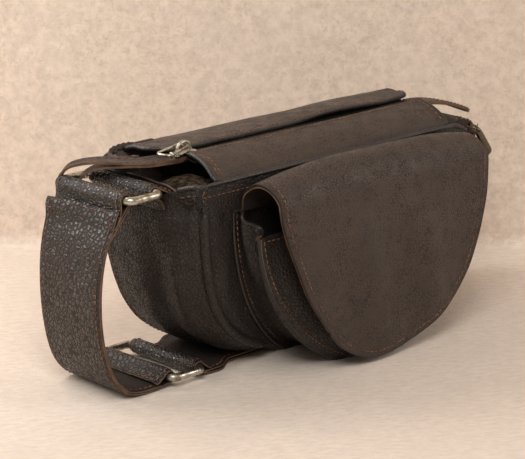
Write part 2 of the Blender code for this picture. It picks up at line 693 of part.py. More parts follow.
def bag_loop(side, word, bar):
    """The strip at the top of the gusset that folds round the ring's inner bar."""
    low_half = half_width(GUSSET_TOP - LOOP_TAIL, BODY_HALF_LENGTH, BODY_TOP, BODY_TOP, BODY_POWER)
    clear = SEAM_GAP + STRAP_THICK / 2
    outside_x = BODY_HALF_LENGTH + clear
    edge = (BODY_HALF_LENGTH - PANEL_THICK / 2, GUSSET_TOP)
    over_radius = PANEL_THICK / 2 + clear
    reach = Vector(bar) - Vector(edge)
    meet = atan2(reach.y, reach.x) + acos((over_radius - TUBE_LINE) / reach.length)
    line = [Vector((low_half - PANEL_THICK - clear, GUSSET_TOP - LOOP_TAIL))]
    line += arc(edge, over_radius, pi, meet, round((pi - meet) * 12 / pi))
    wrap = arc(bar, TUBE_LINE, meet, -pi / 2, round((meet + pi / 2) * 14 / pi))
    low = bar[1] - TUBE_LINE * 2 - LOOP_OUTER_TAIL
    line += wrap[:-1]
    line += spline([wrap[-1], Vector((outside_x + STRAP_THICK / 4, bar[1] - TUBE_LINE * 1.75)),
                    Vector((outside_x, low + LOOP_OUTER_TAIL / 3)), Vector((outside_x, low))], 3)
    return [Vector((side * p.x, p.y)) for p in line]


def left_strap_line(bar, low_bar):
    """Lower fold, floor, the big outward loop, then the upper fold with its tail outside."""
    floor = STRAP_THICK / 2
    lap = STRAP_THICK * 1.5 + FOLD_GAP
    line = [Vector((low_bar[0] - STRAP_TAIL, lap)), Vector((low_bar[0] - STRAP_TAIL * 0.6, lap))]
    line += arc(low_bar, TUBE_LINE, pi * 0.62, -pi / 2, 16)
    height = bar[1]
    bulge = LOOP_BULGE_X - low_bar[0]
    shares = ((0.36, 0.0), (0.62, 0.024), (0.82, 0.115), (0.94, 0.26), (0.995, 0.43), (0.985, 0.61),
              (0.905, 0.77))
    route = [Vector((low_bar[0], floor))]
    route += [Vector((low_bar[0] + bulge * across, floor + height * up)) for across, up in shares]
    leave = radians(-40.0)
    turn = Vector((-sin(leave), cos(leave)))
    start = Vector((bar[0] + TUBE_LINE * cos(leave), bar[1] + TUBE_LINE * sin(leave)))
    route += [start - turn * STRAP_THICK * 3, start]
    line += [Vector((p.x, max(p.y, floor))) for p in spline(route, 5)[1:-1]]
    line += arc(bar, TUBE_LINE, leave, pi * 0.78, 16)
    last = line[-1]
    under = start - turn * STRAP_TAIL
    out = Vector((-turn.y, turn.x))
    line.append(last.lerp(under + out * (STRAP_THICK + FOLD_GAP), 0.5))
    line.append(under + out * (STRAP_THICK + FOLD_GAP))
    return line


def floor_strap_line(low_bar):
    """The long strap, from the lower ring along the floor to its split under the bag."""
    floor = STRAP_THICK / 2
    lap = STRAP_THICK * 1.5 + FOLD_GAP
    line = [Vector((low_bar[0] + STRAP_TAIL, lap)), Vector((low_bar[0] + STRAP_TAIL * 0.6, lap))]
    line += arc(low_bar, TUBE_LINE, pi * 0.38, pi * 1.5, 16)
    end = STRAP_SPLIT_X
    line += [Vector((low_bar[0] + (end - low_bar[0]) * i / 12, floor)) for i in range(1, 13)]
    return line


def right_strap_line(bar):
    """From the split, up past the bag's right end and over the ring's outer bar."""
    floor = STRAP_THICK / 2
    start_x = STRAP_SPLIT_X + STRAP_SPLIT_GAP
    span = bar[0] - start_x
    shares = ((0.24, 0.0), (0.47, 0.085), (0.65, 0.27), (0.80, 0.50), (0.91, 0.71))
    route = [Vector((start_x, floor))]
    route += [Vector((start_x + span * across, floor + bar[1] * up)) for across, up in shares]
    leave = radians(166.0)
    turn = Vector((sin(leave), -cos(leave)))
    start = Vector((bar[0] + TUBE_LINE * cos(leave), bar[1] + TUBE_LINE * sin(leave)))
    route += [start - turn * STRAP_THICK * 2, start]
    line = [Vector((p.x, max(p.y, floor))) for p in spline(route, 5)[:-1]]
    line += arc(bar, TUBE_LINE, leave, -pi * 0.12, 16)
    out = Vector((turn.y, -turn.x))
    under = start - turn * STRAP_TAIL + out * (STRAP_THICK + FOLD_GAP)
    line += [line[-1].lerp(under, 0.5), under]
    return line


def shifted(line, start_x, full_x):
    """Low and high sides of a strap that drifts back by STRAP_SHIFT between two places."""
    lows = []
    highs = []
    for p in line:
        share = min(max((p.x - start_x) / (full_x - start_x), 0.0), 1.0)
        drift = STRAP_SHIFT * (3 - 2 * share) * share * share
        lows.append(drift - STRAP_WIDTH / 2)
        highs.append(drift + STRAP_WIDTH / 2)
    return lows, highs


def straps():
    """Both bag loops, three rings and the strap, opened at one place under the bag."""
    half = STRAP_WIDTH / 2
    bars = {"left": (BAG_BAR_X, BAG_BAR_LEFT_Z), "right": (BAG_BAR_X, BAG_BAR_RIGHT_Z)}
    for side, word in SIDES:
        line = bag_loop(side, word, bars[word])
        near = PANEL_THICK - half + (LOOP_RIGHT_INSET if side > 0 else 0.0)
        band("bag_loop_" + word, line, STRAP_THICK, near, half - PANEL_THICK - SEAM_GAP, STRAP_LEATHER)

    inner = Vector((-BAG_BAR_X, 0.0, BAG_BAR_LEFT_Z))
    outer = inner + Vector((-cos(LEFT_RING_RISE), 0.0, sin(LEFT_RING_RISE))) * RING_PITCH
    upper = ring("ring_left", (inner + outer) / 2, -LEFT_RING_RISE)
    set_pivot("ring_left_pivot", inner, [upper])

    low_z = STRAP_THICK + TUBE_BORE
    low_left = (LOWER_RING_X, low_z)
    low_right = (LOWER_RING_X + RING_PITCH, low_z)
    strap = band("strap_left", left_strap_line((outer.x, outer.z), low_left), STRAP_THICK, -half, half,
                 STRAP_LEATHER)
    set_pivot("strap_left_pivot", outer, [strap])
    lower = ring("ring_lower", Vector((LOWER_RING_X + RING_PITCH / 2, 0.0, low_z)), 0.0)
    set_pivot("ring_lower_pivot", (low_left[0], 0.0, low_z), [lower])

    line = floor_strap_line(low_right)
    lows, highs = shifted(line, low_right[0] + STRAP_TAIL, low_right[0] + STRAP_TAIL * 2)
    under = band("strap_under", line, STRAP_THICK, lows, highs, STRAP_LEATHER)
    set_pivot("strap_under_pivot", (low_right[0], 0.0, low_z), [under])

    inner = Vector((BAG_BAR_X, 0.0, BAG_BAR_RIGHT_Z))
    outer = inner + Vector((cos(RIGHT_RING_DROP), 0.0, -sin(RIGHT_RING_DROP))) * RING_PITCH
    right = ring("ring_right", (inner + outer) / 2, -RIGHT_RING_DROP)
    set_pivot("ring_right_pivot", inner, [right])
    line = right_strap_line((outer.x, outer.z))
    lows, highs = shifted(line, outer.x, STRAP_SPLIT_X + STRAP_TAIL)
    hanging = band("strap_right", line, STRAP_THICK, lows, highs, STRAP_LEATHER)
    set_pivot("strap_right_pivot", outer, [hanging])


def pocket_y(across, z):
    """The pocket's front stands out most around its magnet and is flat along its seam."""
    low = min(z / MAGNET_Z, 1.0)
    high = max(z - MAGNET_Z, 0.0) / (POCKET_FRONT_TOP - MAGNET_Z)
    swell = (1.0 - (1.0 - low) ** 4) * (1.0 - high ** 4 / 2) * (1.0 - across ** 2)
    return POCKET_FRONT_Y - POCKET_FULLNESS * swell


def pocket():
    """A half-moon patch pocket: its gusset and its front."""
    count = 45
    back = half_moon(POCKET_HALF_LENGTH, POCKET_BACK_TOP, POCKET_BACK_TOP + POCKET_UNDERCUT,
                     POCKET_POWER, 0.0, 240)
    front = half_moon(POCKET_HALF_LENGTH, POCKET_FRONT_TOP, POCKET_FRONT_TOP + POCKET_UNDERCUT,
                      POCKET_POWER, 0.0, 240)
    back = resample(back, count)
    front = resample(front, count)
    face = POCKET_FRONT_Y + POCKET_THICK + SEAM_GAP
    rings = []
    for b, bn, f, fn in zip(back, normals(back), front, normals(front)):
        ring_points = []
        for inset in (0.0, POCKET_THICK):
            line = []
            for k in range(4):
                share = k / 3
                p = b.lerp(f, share) + bn.lerp(fn, share).normalized() * inset
                start = front_y(p.y if k == 0 else b.y) - SEAM_GAP
                line.append((p.x, start + (face - start) * share, max(p.y, inset)))
            ring_points += line if inset == 0.0 else line[::-1]
        rings.append(ring_points)
    loft("pocket_gusset", rings, LEATHER, walled=True)

    rows = []
    for i in range(13):
        z = POCKET_FRONT_TOP * (1.0 - i / 12)
        half = half_width(z, POCKET_HALF_LENGTH, POCKET_FRONT_TOP, POCKET_FRONT_TOP + POCKET_UNDERCUT,
                          POCKET_POWER)
        rows.append([(half * (j / 8 - 1), pocket_y(j / 8 - 1, z), z) for j in range(17)])
    sheet("pocket_front", rows, POCKET_THICK, LEATHER, 1)


def flap_profile(start, end, steps):
    """Outer face of the flap over its arch, as (y, z), from angle start to end."""
    line = []
    for i in range(steps + 1):
        a = start + (end - start) * i / steps
        line.append(Vector((FLAP_ARCH_Y + FLAP_ARCH_DEPTH * cos(a), FLAP_ARCH_Z + FLAP_ARCH_RISE * sin(a))))
    return line


def flap_half(z, shoulder, full):
    """Half width of the flap at this height; its right side hangs fuller than its left."""
    fallen = min(max(1.0 - z / FLAP_WIDEST_Z, 0.0), 1.0)
    return max(FLAP_HALF_LENGTH * (1.0 - fallen ** shoulder) ** (1.0 / full), FLAP_TIP_HALF)


def flap():
    """The sewn strip, which stays, and the flap that turns from the top of its arch."""
    rise = [Vector((FLAP_ARCH_Y + FLAP_ARCH_DEPTH, POCKET_BACK_TOP + SEAM_GAP))]
    rise += flap_profile(0.0, FLAP_HINGE_TURN, 6)
    rows = [[(FLAP_HALF_LENGTH * (j / 8 - 1), p.x, p.y) for j in range(17)] for p in rise]
    sheet("flap_seam_strip", rows, FLAP_THICK, LEATHER, 1)

    over = flap_profile(FLAP_HINGE_TURN + FLAP_HINGE_GAP, pi, 14)
    front = FLAP_ARCH_Y - FLAP_ARCH_DEPTH
    fall = 14
    for i in range(1, fall + 1):
        share = i / fall
        z = FLAP_ARCH_Z + (FLAP_TIP_Z - FLAP_ARCH_Z) * share
        over.append(Vector((front - FLAP_FULLNESS * sin(pi * share), z)))
    rows = []
    for p in over:
        left = flap_half(p.y, FLAP_LEFT_SHOULDER_POWER, FLAP_LEFT_FULL_POWER)
        right = flap_half(p.y, FLAP_RIGHT_SHOULDER_POWER, FLAP_RIGHT_FULL_POWER)
        rows.append([((left if j < 12 else right) * (j / 12 - 1), p.x, p.y) for j in range(25)])
    made = sheet("pocket_flap", rows, FLAP_THICK, LEATHER, 1)

    inside = front - FLAP_FULLNESS * 0.9 + FLAP_THICK + SEAM_GAP
    seat = pocket_y(0.0, MAGNET_Z) - SEAM_GAP
    middle = (inside + seat) / 2
    stud = disc("flap_magnet", inside, middle - SEAM_GAP / 2)
    disc("pocket_magnet", seat, middle + SEAM_GAP / 2)
    set_pivot("flap_pivot", (0.0, over[0].x, over[0].y), [made, stud])


def disc(name, y_start, y_end):
    """A flat magnet with a softened rim, facing along Y."""
    rims = ((y_start, MAGNET_RADIUS), (y_start + (y_end - y_start) * 0.8, MAGNET_RADIUS),
            (y_end, MAGNET_RADIUS * 0.9))
    rings = []
    for y, radius in rims:
        rings.append([(radius * cos(2 * pi * k / 24), y, MAGNET_Z + radius * sin(2 * pi * k / 24))
                      for k in range(24)])
    return loft(name, rings, NICKEL)


def main():
    clear_scene()
    body_panels()
    gusset()
    welts()
    top_panels()
    zip_tapes()
    zip_teeth()
    linings()
    slider()
    end_tabs()
    straps()
    pocket()
    flap()


main()
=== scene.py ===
"""Belt bag: the leather, cloth, thread and metal that dress the packed frame.

Metres, +Z up. X runs along the bag, -Y is the pocket side and the floor is z = 0.
"""

import json
from math import acos, atan2, cos, pi, radians, sin

import bpy
import numpy as np
from bpy.props import FloatProperty, FloatVectorProperty, PointerProperty
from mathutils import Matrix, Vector


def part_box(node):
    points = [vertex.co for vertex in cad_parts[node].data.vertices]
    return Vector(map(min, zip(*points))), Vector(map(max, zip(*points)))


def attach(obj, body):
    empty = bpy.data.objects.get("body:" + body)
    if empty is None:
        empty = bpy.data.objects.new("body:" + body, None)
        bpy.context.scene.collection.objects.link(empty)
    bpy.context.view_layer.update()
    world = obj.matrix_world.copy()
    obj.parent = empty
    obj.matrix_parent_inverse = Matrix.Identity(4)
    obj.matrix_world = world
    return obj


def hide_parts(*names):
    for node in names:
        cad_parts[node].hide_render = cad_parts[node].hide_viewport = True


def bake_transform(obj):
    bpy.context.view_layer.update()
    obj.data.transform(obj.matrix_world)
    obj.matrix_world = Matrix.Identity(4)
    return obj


bl_info = {
    "name": "Belt Bag",
    "version": (1, 0, 0),
    "blender": (4, 5, 0),
    "location": "View3D > Sidebar > Belt Bag",
    "description": "Builds the leather, cloth, thread and metal of a half-moon belt bag",
    "category": "Add Mesh",
}

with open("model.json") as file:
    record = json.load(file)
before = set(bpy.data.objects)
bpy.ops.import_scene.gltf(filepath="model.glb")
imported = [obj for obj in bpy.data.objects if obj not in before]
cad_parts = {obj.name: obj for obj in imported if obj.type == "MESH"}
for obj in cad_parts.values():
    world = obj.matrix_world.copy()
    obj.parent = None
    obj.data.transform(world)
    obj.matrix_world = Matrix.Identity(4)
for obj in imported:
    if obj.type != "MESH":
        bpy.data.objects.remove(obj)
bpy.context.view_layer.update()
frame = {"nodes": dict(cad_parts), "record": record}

# Places that the frame gives
FRONT_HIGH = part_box("front_panel")[1]
BACK_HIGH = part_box("back_panel")[1]
GUSSET_LOW, GUSSET_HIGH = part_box("gusset")
FLAP_LOW, FLAP_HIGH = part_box("pocket_flap")
STRIP_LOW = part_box("flap_seam_strip")[0]
POCKET_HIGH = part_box("pocket_front")[1]
POCKET_SIDE_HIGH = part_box("pocket_gusset")[1]
TOP_FRONT_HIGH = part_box("top_panel_front")[1]
TOP_REAR_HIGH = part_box("top_panel_rear")[1]
SLIDER_LOW, SLIDER_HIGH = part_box("zip_slider")
UNDER_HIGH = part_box("strap_under")[1]
JOINTS = {joint["name"]: joint for joint in frame["record"]["behaviour"]["joints"]}

# Shape of the body
BODY_POWER = 3.0
FRONT_POWER = 2.6
FRONT_FOOT_Y = -0.027
FRONT_UNDERCUT = 0.002
PANEL_THICK = 0.0024
BASE_Z = GUSSET_LOW.z
HALF_LENGTH = GUSSET_HIGH.x
BODY_TOP = 0.128
GUSSET_TOP = 0.119
FRONT_HALF = FRONT_HIGH.x
FRONT_TOP = FRONT_HIGH.z
FRONT_TOP_Y = -0.049
REAR_Y = BACK_HIGH.y
PLEAT_TOP = 0.114
PLEAT_FADE = 0.012
CLOTH_THICK = 0.0006
ENDS = ((-1, "left"), (1, "right"))


def read_points(mesh):
    """A mesh's vertices as rows of an array."""
    points = np.empty(len(mesh.vertices) * 3)
    mesh.vertices.foreach_get("co", points)
    return points.reshape(-1, 3)


def write_points(mesh, points):
    """Put an array's rows back as a mesh's vertices."""
    mesh.vertices.foreach_set("co", np.ascontiguousarray(points, dtype=np.float64).ravel())
    mesh.update()


def smooth(share):
    """Ease from 0 to 1."""
    share = np.clip(share, 0.0, 1.0)
    return share * share * (3 - 2 * share)


def bell(distance, width):
    """1 at no distance, fading on both sides over about the width."""
    return np.exp(-(distance / width) ** 2)


def value_noise(points, size, seed):
    """Smooth noise from -1 to 1, with bumps of about the given size."""
    cells = np.asarray(points) / size + seed * 17.31
    base = np.floor(cells).astype(np.int64)
    part = smooth(cells - base)
    total = np.zeros(cells.shape[:-1])
    for corner in range(8):
        offset = np.array([(corner >> axis) & 1 for axis in range(3)])
        at = (base + offset) & 0xFFFF
        mixed = (at[..., 0] * 73856093) ^ (at[..., 1] * 19349663) ^ (at[..., 2] * 83492791)
        mixed = ((mixed ^ (mixed >> 13)) * 1274126177) & 0xFFFFFFFF
        mixed = (mixed ^ (mixed >> 16)) & 0xFFFF
        weight = np.prod(np.where(offset == 1, part, 1 - part), axis=-1)
        total += weight * (mixed / 32767.5 - 1)
    return total


def crumple(points, size, seed):
    """Two octaves of noise, for leather that has been handled."""
    return value_noise(points, size, seed) * 0.7 + value_noise(points, size * 0.43, seed + 3) * 0.3


class Guide:
    """A smooth line that can be read at any share of its length."""

    def __init__(self, points):
        points = np.asarray(points, float)
        steps = np.linalg.norm(np.diff(points, axis=0), axis=1)
        points = points[np.append(True, steps > 1e-9)]
        steps = steps[steps > 1e-9]
        self.points = points
        self.length = float(steps.sum())
        self.at = np.append(0.0, np.cumsum(steps)) / self.length
        runs = np.gradient(points, self.at, axis=0)
        self.runs = runs / np.linalg.norm(runs, axis=1)[:, None]

    def read(self, table, share):
        return np.stack([np.interp(share, self.at, table[:, k]) for k in range(table.shape[1])], -1)

    def point(self, share):
        return self.read(self.points, share)

    def run(self, share):
        runs = self.read(self.runs, share)
        return runs / np.linalg.norm(runs, axis=-1)[..., None]


def spline(knots, steps=12):
    """A smooth line through the knots, with its ends kept."""
    knots = [np.asarray(k, float) for k in knots]
    ends = [knots[0] * 2 - knots[1], *knots, knots[-1] * 2 - knots[-2]]
    line = []
    for a, b, c, d in zip(ends, ends[1:], ends[2:], ends[3:]):
        for i in range(steps):
            t = i / steps
            line.append((b * 2 + (c - a) * t + (a * 2 - b * 5 + c * 4 - d) * t * t
                         + (b * 3 - a - c * 3 + d) * t * t * t) / 2)
    line.append(knots[-1])
    return np.array(line)


def arc(centre, radius, start, end, steps=24):
    """Points on a circle's arc."""
    turn = np.linspace(start, end, steps + 1)
    return np.stack([centre[0] + radius * np.cos(turn), centre[1] + radius * np.sin(turn)], 1)


def half_moon(half, top, drop, power, floor, cut=None):
    """The half-moon outline in X-Z, from its top left corner round to its top right one."""
    turn = np.linspace(0, pi, 1441)
    x = -half * np.sign(np.cos(turn)) * np.abs(np.cos(turn)) ** (2 / power)
    z = np.maximum(top - drop * np.sin(turn) ** (2 / power), floor)
    line = np.stack([x, z], 1)
    if cut is not None:
        line = line[z < cut]
        line = np.vstack([[line[0, 0], cut], line, [line[-1, 0], cut]])
    return Guide(line)


def outward(run):
    """The side of a half-moon outline that faces away from the bag."""
    return np.stack([run[..., 1], -run[..., 0]], -1)


def front_y(z):
    """The bag's front leans out towards its top."""
    share = np.clip(z / FRONT_TOP, 0, 1)
    return FRONT_FOOT_Y + (FRONT_TOP_Y - FRONT_FOOT_Y) * (1 - (1 - share) ** 2)


def pleat_share(z):
    """How far the front seam has opened into its pleat at this height."""
    return smooth((PLEAT_TOP - z) / PLEAT_FADE)


def deselect():
    """Leave nothing selected, because operators act on all that is."""
    bpy.ops.object.select_all(action="DESELECT")


def make_active(piece):
    """Select one piece alone for the next operator."""
    deselect()
    piece.select_set(True)
    bpy.context.view_layer.objects.active = piece


def apply_modifiers(piece):
    """Apply a piece's modifiers in their order."""
    make_active(piece)
    for modifier in list(piece.modifiers):
        bpy.ops.object.modifier_apply(modifier=modifier.name)


def settle(piece, body, *nodes, slot="leather"):
    """Smooth a finished piece, hang it on its body and let it stand for its nodes."""
    make_active(piece)
    bpy.ops.object.shade_smooth_by_angle(angle=radians(50))
    if nodes:
        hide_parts(*nodes)
    if isinstance(body, str):
        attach(piece, body)
    return piece


def write_attribute(mesh, name, values):
    """Store one number for each vertex, for a material to read."""
    attribute = mesh.attributes.new(name, "FLOAT", "POINT")
    attribute.data.foreach_set("value", np.asarray(values, np.float32).ravel())


def lay_grid(name, surface, columns, rows, borders="LRBT"):
    """Add a flat grid and lay it on surface(u, v); each point learns how far the rim is."""
    deselect()
    bpy.ops.mesh.primitive_grid_add(x_subdivisions=columns, y_subdivisions=rows, size=1.0)
    piece = bpy.context.object
    piece.name = name
    piece.data.name = name
    flat = read_points(piece.data)
    u = np.clip(flat[:, 0] + 0.5, 0, 1)
    v = np.clip(flat[:, 1] + 0.5, 0, 1)
    write_points(piece.data, surface(u, v))
    across, up = np.meshgrid(np.linspace(0, 1, columns + 1), np.linspace(0, 1, rows + 1))
    points = surface(across, up)
    along = np.cumsum(np.linalg.norm(np.diff(points, axis=1), axis=2), axis=1)
    along = np.concatenate([np.zeros((rows + 1, 1)), along], axis=1)
    high = np.cumsum(np.linalg.norm(np.diff(points, axis=0), axis=2), axis=0)
    high = np.concatenate([np.zeros((1, columns + 1)), high], axis=0)
    sides = {"L": along, "R": along[:, -1:] - along, "B": high, "T": high[-1:] - high}
    rim = np.min([sides[side] for side in borders], axis=0) if borders else np.full_like(along, 1.0)
    column = np.rint(u * columns).astype(int)
    row = np.rint(v * rows).astype(int)
    # The leather finishes darken the colour near the rim from this, partly as painted shade in the seams.
    write_attribute(piece.data, "rim", rim[row, column])
    return piece


def thicken(piece, thickness, looks, inward=True, round_edge=0.0006):
    """Give a laid sheet its thickness, its finishes (face, back, edge) and rounded edges."""
    for look in looks:
        piece.data.materials.append(look)
    wall = piece.modifiers.new("leather", "SOLIDIFY")
    wall.thickness = thickness
    wall.offset = -1 if inward else 1
    wall.use_even_offset = False
    wall.material_offset = 1
    wall.material_offset_rim = 2
    if round_edge:
        soften = piece.modifiers.new("edge", "BEVEL")
        soften.width = round_edge
        soften.segments = 2
        soften.limit_method = "ANGLE"
        soften.angle_limit = radians(60)
        soften.use_clamp_overlap = True
    apply_modifiers(piece)
    return piece


def frame_on(surface, u, v):
    """Points of a surface with their unit normals."""
    step = 1e-3
    low_u, high_u = np.clip(u - step, 0, 1), np.clip(u + step, 0, 1)
    low_v, high_v = np.clip(v - step, 0, 1), np.clip(v + step, 0, 1)
    along = surface(high_u, v) - surface(low_u, v)
    up = surface(u, high_v) - surface(u, low_v)
    face = np.cross(along, up)
    return surface(u, v), face / np.maximum(np.linalg.norm(face, axis=-1), 1e-12)[..., None]


def mesh_object(name, points, faces, look):
    """A piece from points and faces that are worked out."""
    mesh = bpy.data.meshes.new(name)
    mesh.from_pydata([tuple(p) for p in points], [], faces)
    mesh.materials.append(look)
    piece = bpy.data.objects.new(name, mesh)
    bpy.context.collection.objects.link(piece)
    return piece


STITCH = {}


def stitch_form():
    """One thread stitch, lying along X and swollen in its middle; modelled once."""
    if not STITCH:
        sizes = bpy.context.scene.bag_sizes
        deselect()
        bpy.ops.mesh.primitive_uv_sphere_add(segments=8, ring_count=6, radius=0.5, rotation=(0, pi / 2, 0))
        bpy.ops.object.transform_apply(location=False, rotation=True, scale=False)
        form = bpy.context.object
        points = read_points(form.data) * (sizes.stitch_length, sizes.thread, sizes.thread)
        points[:, 2] += sizes.thread * 0.25 * (1 - (points[:, 0] * 2 / sizes.stitch_length) ** 2)
        STITCH["points"] = points
        STITCH["faces"] = [tuple(face.vertices) for face in form.data.polygons]
        bpy.data.objects.remove(form, do_unlink=True)
    return STITCH["points"], STITCH["faces"]


def edge_roll(name, surface, us, vs, shift, radius=0.0016, look=None, **shape):
    """A rolled edge along a line of a surface, moved by shift(route, face) and sewn to the bag."""
    route, face = frame_on(surface, us, vs)
    settle(round_strip(name, shift(route, face), radius, look or edge_leather(), **shape), "bag")


def upright_bars(name, places, reach, **way):
    """A bar tack: a few upright stitches side by side."""
    bars = [(np.stack([at - (0, 0, reach), at + (0, 0, reach)]), np.tile([0.0, -1.0, 0.0], (2, 1)))
            for at in places]
    sew(name, bars, "bag", **way)


def sew(name, lines, body, sway=0.0):
    """Stitches at an even pitch along lines of (points, normals), as one piece."""
    sizes = bpy.context.scene.bag_sizes
    form, form_faces = stitch_form()
    points = []
    faces = []
    for line, face in lines:
        steps = np.append(0, np.cumsum(np.linalg.norm(np.diff(line, axis=0), axis=1)))
        count = max(int(steps[-1] / sizes.stitch_pitch), 1)
        for k in range(count):
            at = (k + 0.5) * steps[-1] / count
            reach = sizes.stitch_length / 2
            ends = [np.array([np.interp(at + shift, steps, line[:, axis]) for axis in range(3)])
                    for shift in (-reach, 0, reach)]
            up = np.array([np.interp(at, steps, face[:, axis]) for axis in range(3)])
            run = ends[2] - ends[0]
            if np.linalg.norm(run) < 1e-9:
                continue
            run /= np.linalg.norm(run)
            side = np.cross(up, run)
            side /= np.linalg.norm(side)
            up = np.cross(run, side)
            run = run + side * sway * (1 if k % 2 else -1)
            start = len(points) * len(form)
            points.append(ends[1] + form @ np.array([run, side, up]))
            faces += [tuple(index + start for index in polygon) for polygon in form_faces]
    piece = mesh_object(name, np.concatenate(points), faces, thread_material())
    return settle(piece, body)


def seam_on(surface, us, vs, count=160):
    """A line over a surface through a few (u, v) places."""
    places = spline(np.stack([us, vs], 1), 16) if len(us) > 2 else np.stack([us, vs], 1)
    track = Guide(places).point(np.linspace(0, 1, count))
    return frame_on(surface, np.clip(track[:, 0], 0, 1), np.clip(track[:, 1], 0, 1))


def round_strip(name, route, radius, look, closed=False, sides=5, ends=0.35):
    """A round cord of leather or wire along a route, thinned at its open ends."""
    route = np.asarray(route, float)
    curve = bpy.data.curves.new(name, "CURVE")
    curve.dimensions = "3D"
    curve.bevel_depth = radius
    curve.bevel_resolution = sides
    curve.use_fill_caps = True
    line = curve.splines.new("POLY")
    line.points.add(len(route) - 1)
    shares = np.linspace(0, 1, len(route))
    for place, target, share in zip(line.points, route, shares):
        place.co = (*target, 1.0)
        if not closed:
            place.radius = ends + (1 - ends) * float(smooth(min(share, 1 - share) * 14))
    line.use_cyclic_u = closed
    piece = bpy.data.objects.new(name, curve)
    bpy.context.collection.objects.link(piece)
    make_active(piece)
    bpy.ops.object.convert(target="MESH")
    piece = bpy.context.object
    piece.data.materials.clear()
    piece.data.materials.append(look)
    write_attribute(piece.data, "rim", np.ones(len(piece.data.vertices)))
    return piece


class Recipe:
    """A material that is being put together from nodes."""

    def __init__(self, name, roughness, metallic=0.0, specular=0.5):
        self.material = bpy.data.materials.new(name)
        self.material.use_nodes = True
        self.tree = self.material.node_tree
        self.shader = self.tree.nodes["Principled BSDF"]
        self.shader.inputs["Roughness"].default_value = roughness
        self.shader.inputs["Metallic"].default_value = metallic
        self.shader.inputs["Specular IOR Level"].default_value = specular

    def add(self, kind, sockets=None, **settings):
        node = self.tree.nodes.new(kind)
        for key, value in settings.items():
            setattr(node, key, value)
        for name, value in (sockets or {}).items():
            self.feed(node.inputs[name], value)
        return node

    def feed(self, socket, value):
        if isinstance(value, bpy.types.NodeSocket):
            self.tree.links.new(value, socket)
        else:
            socket.default_value = value

    def place(self):
        return self.add("ShaderNodeTexCoord").outputs["Object"]

    def attribute(self, name):
        return self.add("ShaderNodeAttribute", attribute_name=name).outputs["Fac"]

    def noise(self, vector, size, detail=2.0, roughness=0.5):
        sockets = {"Vector": vector, "Scale": 1 / size, "Detail": detail, "Roughness": roughness}
        return self.add("ShaderNodeTexNoise", sockets).outputs["Fac"]

    def wave(self, vector, scale, distortion, direction):
        sockets = {"Vector": vector, "Scale": scale, "Distortion": distortion}
        return self.add("ShaderNodeTexWave", sockets, bands_direction=direction).outputs["Fac"]

    def math(self, operation, first, second=0.0, third=None):
        node = self.add("ShaderNodeMath", operation=operation)
        self.feed(node.inputs[0], first)
        self.feed(node.inputs[1], second)
        if third is not None:
            self.feed(node.inputs[2], third)
        return node.outputs[0]

    def span(self, value, low, high, start=0.0, end=1.0):
        sockets = {"Value": value, "From Min": low, "From Max": high, "To Min": start, "To Max": end}
        return self.add("ShaderNodeMapRange", sockets, interpolation_type="SMOOTHSTEP").outputs["Result"]

    def blend(self, factor, first, second):
        node = self.add("ShaderNodeMix", data_type="RGBA")
        self.feed(node.inputs["Factor"], factor)
        self.feed(node.inputs[6], first)
        self.feed(node.inputs[7], second)
        return node.outputs[2]

    def finish(self, colour=None, roughness=None, height=None, depth=0.0001):
        if colour is not None:
            self.feed(self.shader.inputs["Base Color"], colour)
        if roughness is not None:
            self.feed(self.shader.inputs["Roughness"], roughness)
        if height is not None:
            bump = self.add("ShaderNodeBump", {"Height": height, "Strength": 1.0, "Distance": depth})
            self.feed(self.shader.inputs["Normal"], bump.outputs["Normal"])
        return self.material


def tone(name, scale=1.0):
    """A colour of the bag, as four linear values."""
    colour = getattr(bpy.context.scene.bag_colours, name)
    return (*(channel * scale for channel in colour), 1.0)


def finish_named(name):
    """Turn a recipe into a finish: the file's own of that name, put together only when it has none."""
    def wrap(build):
        def look():
            return bpy.data.materials.get(name) or build(name)
        look.__doc__ = build.__doc__
        return look
    return wrap


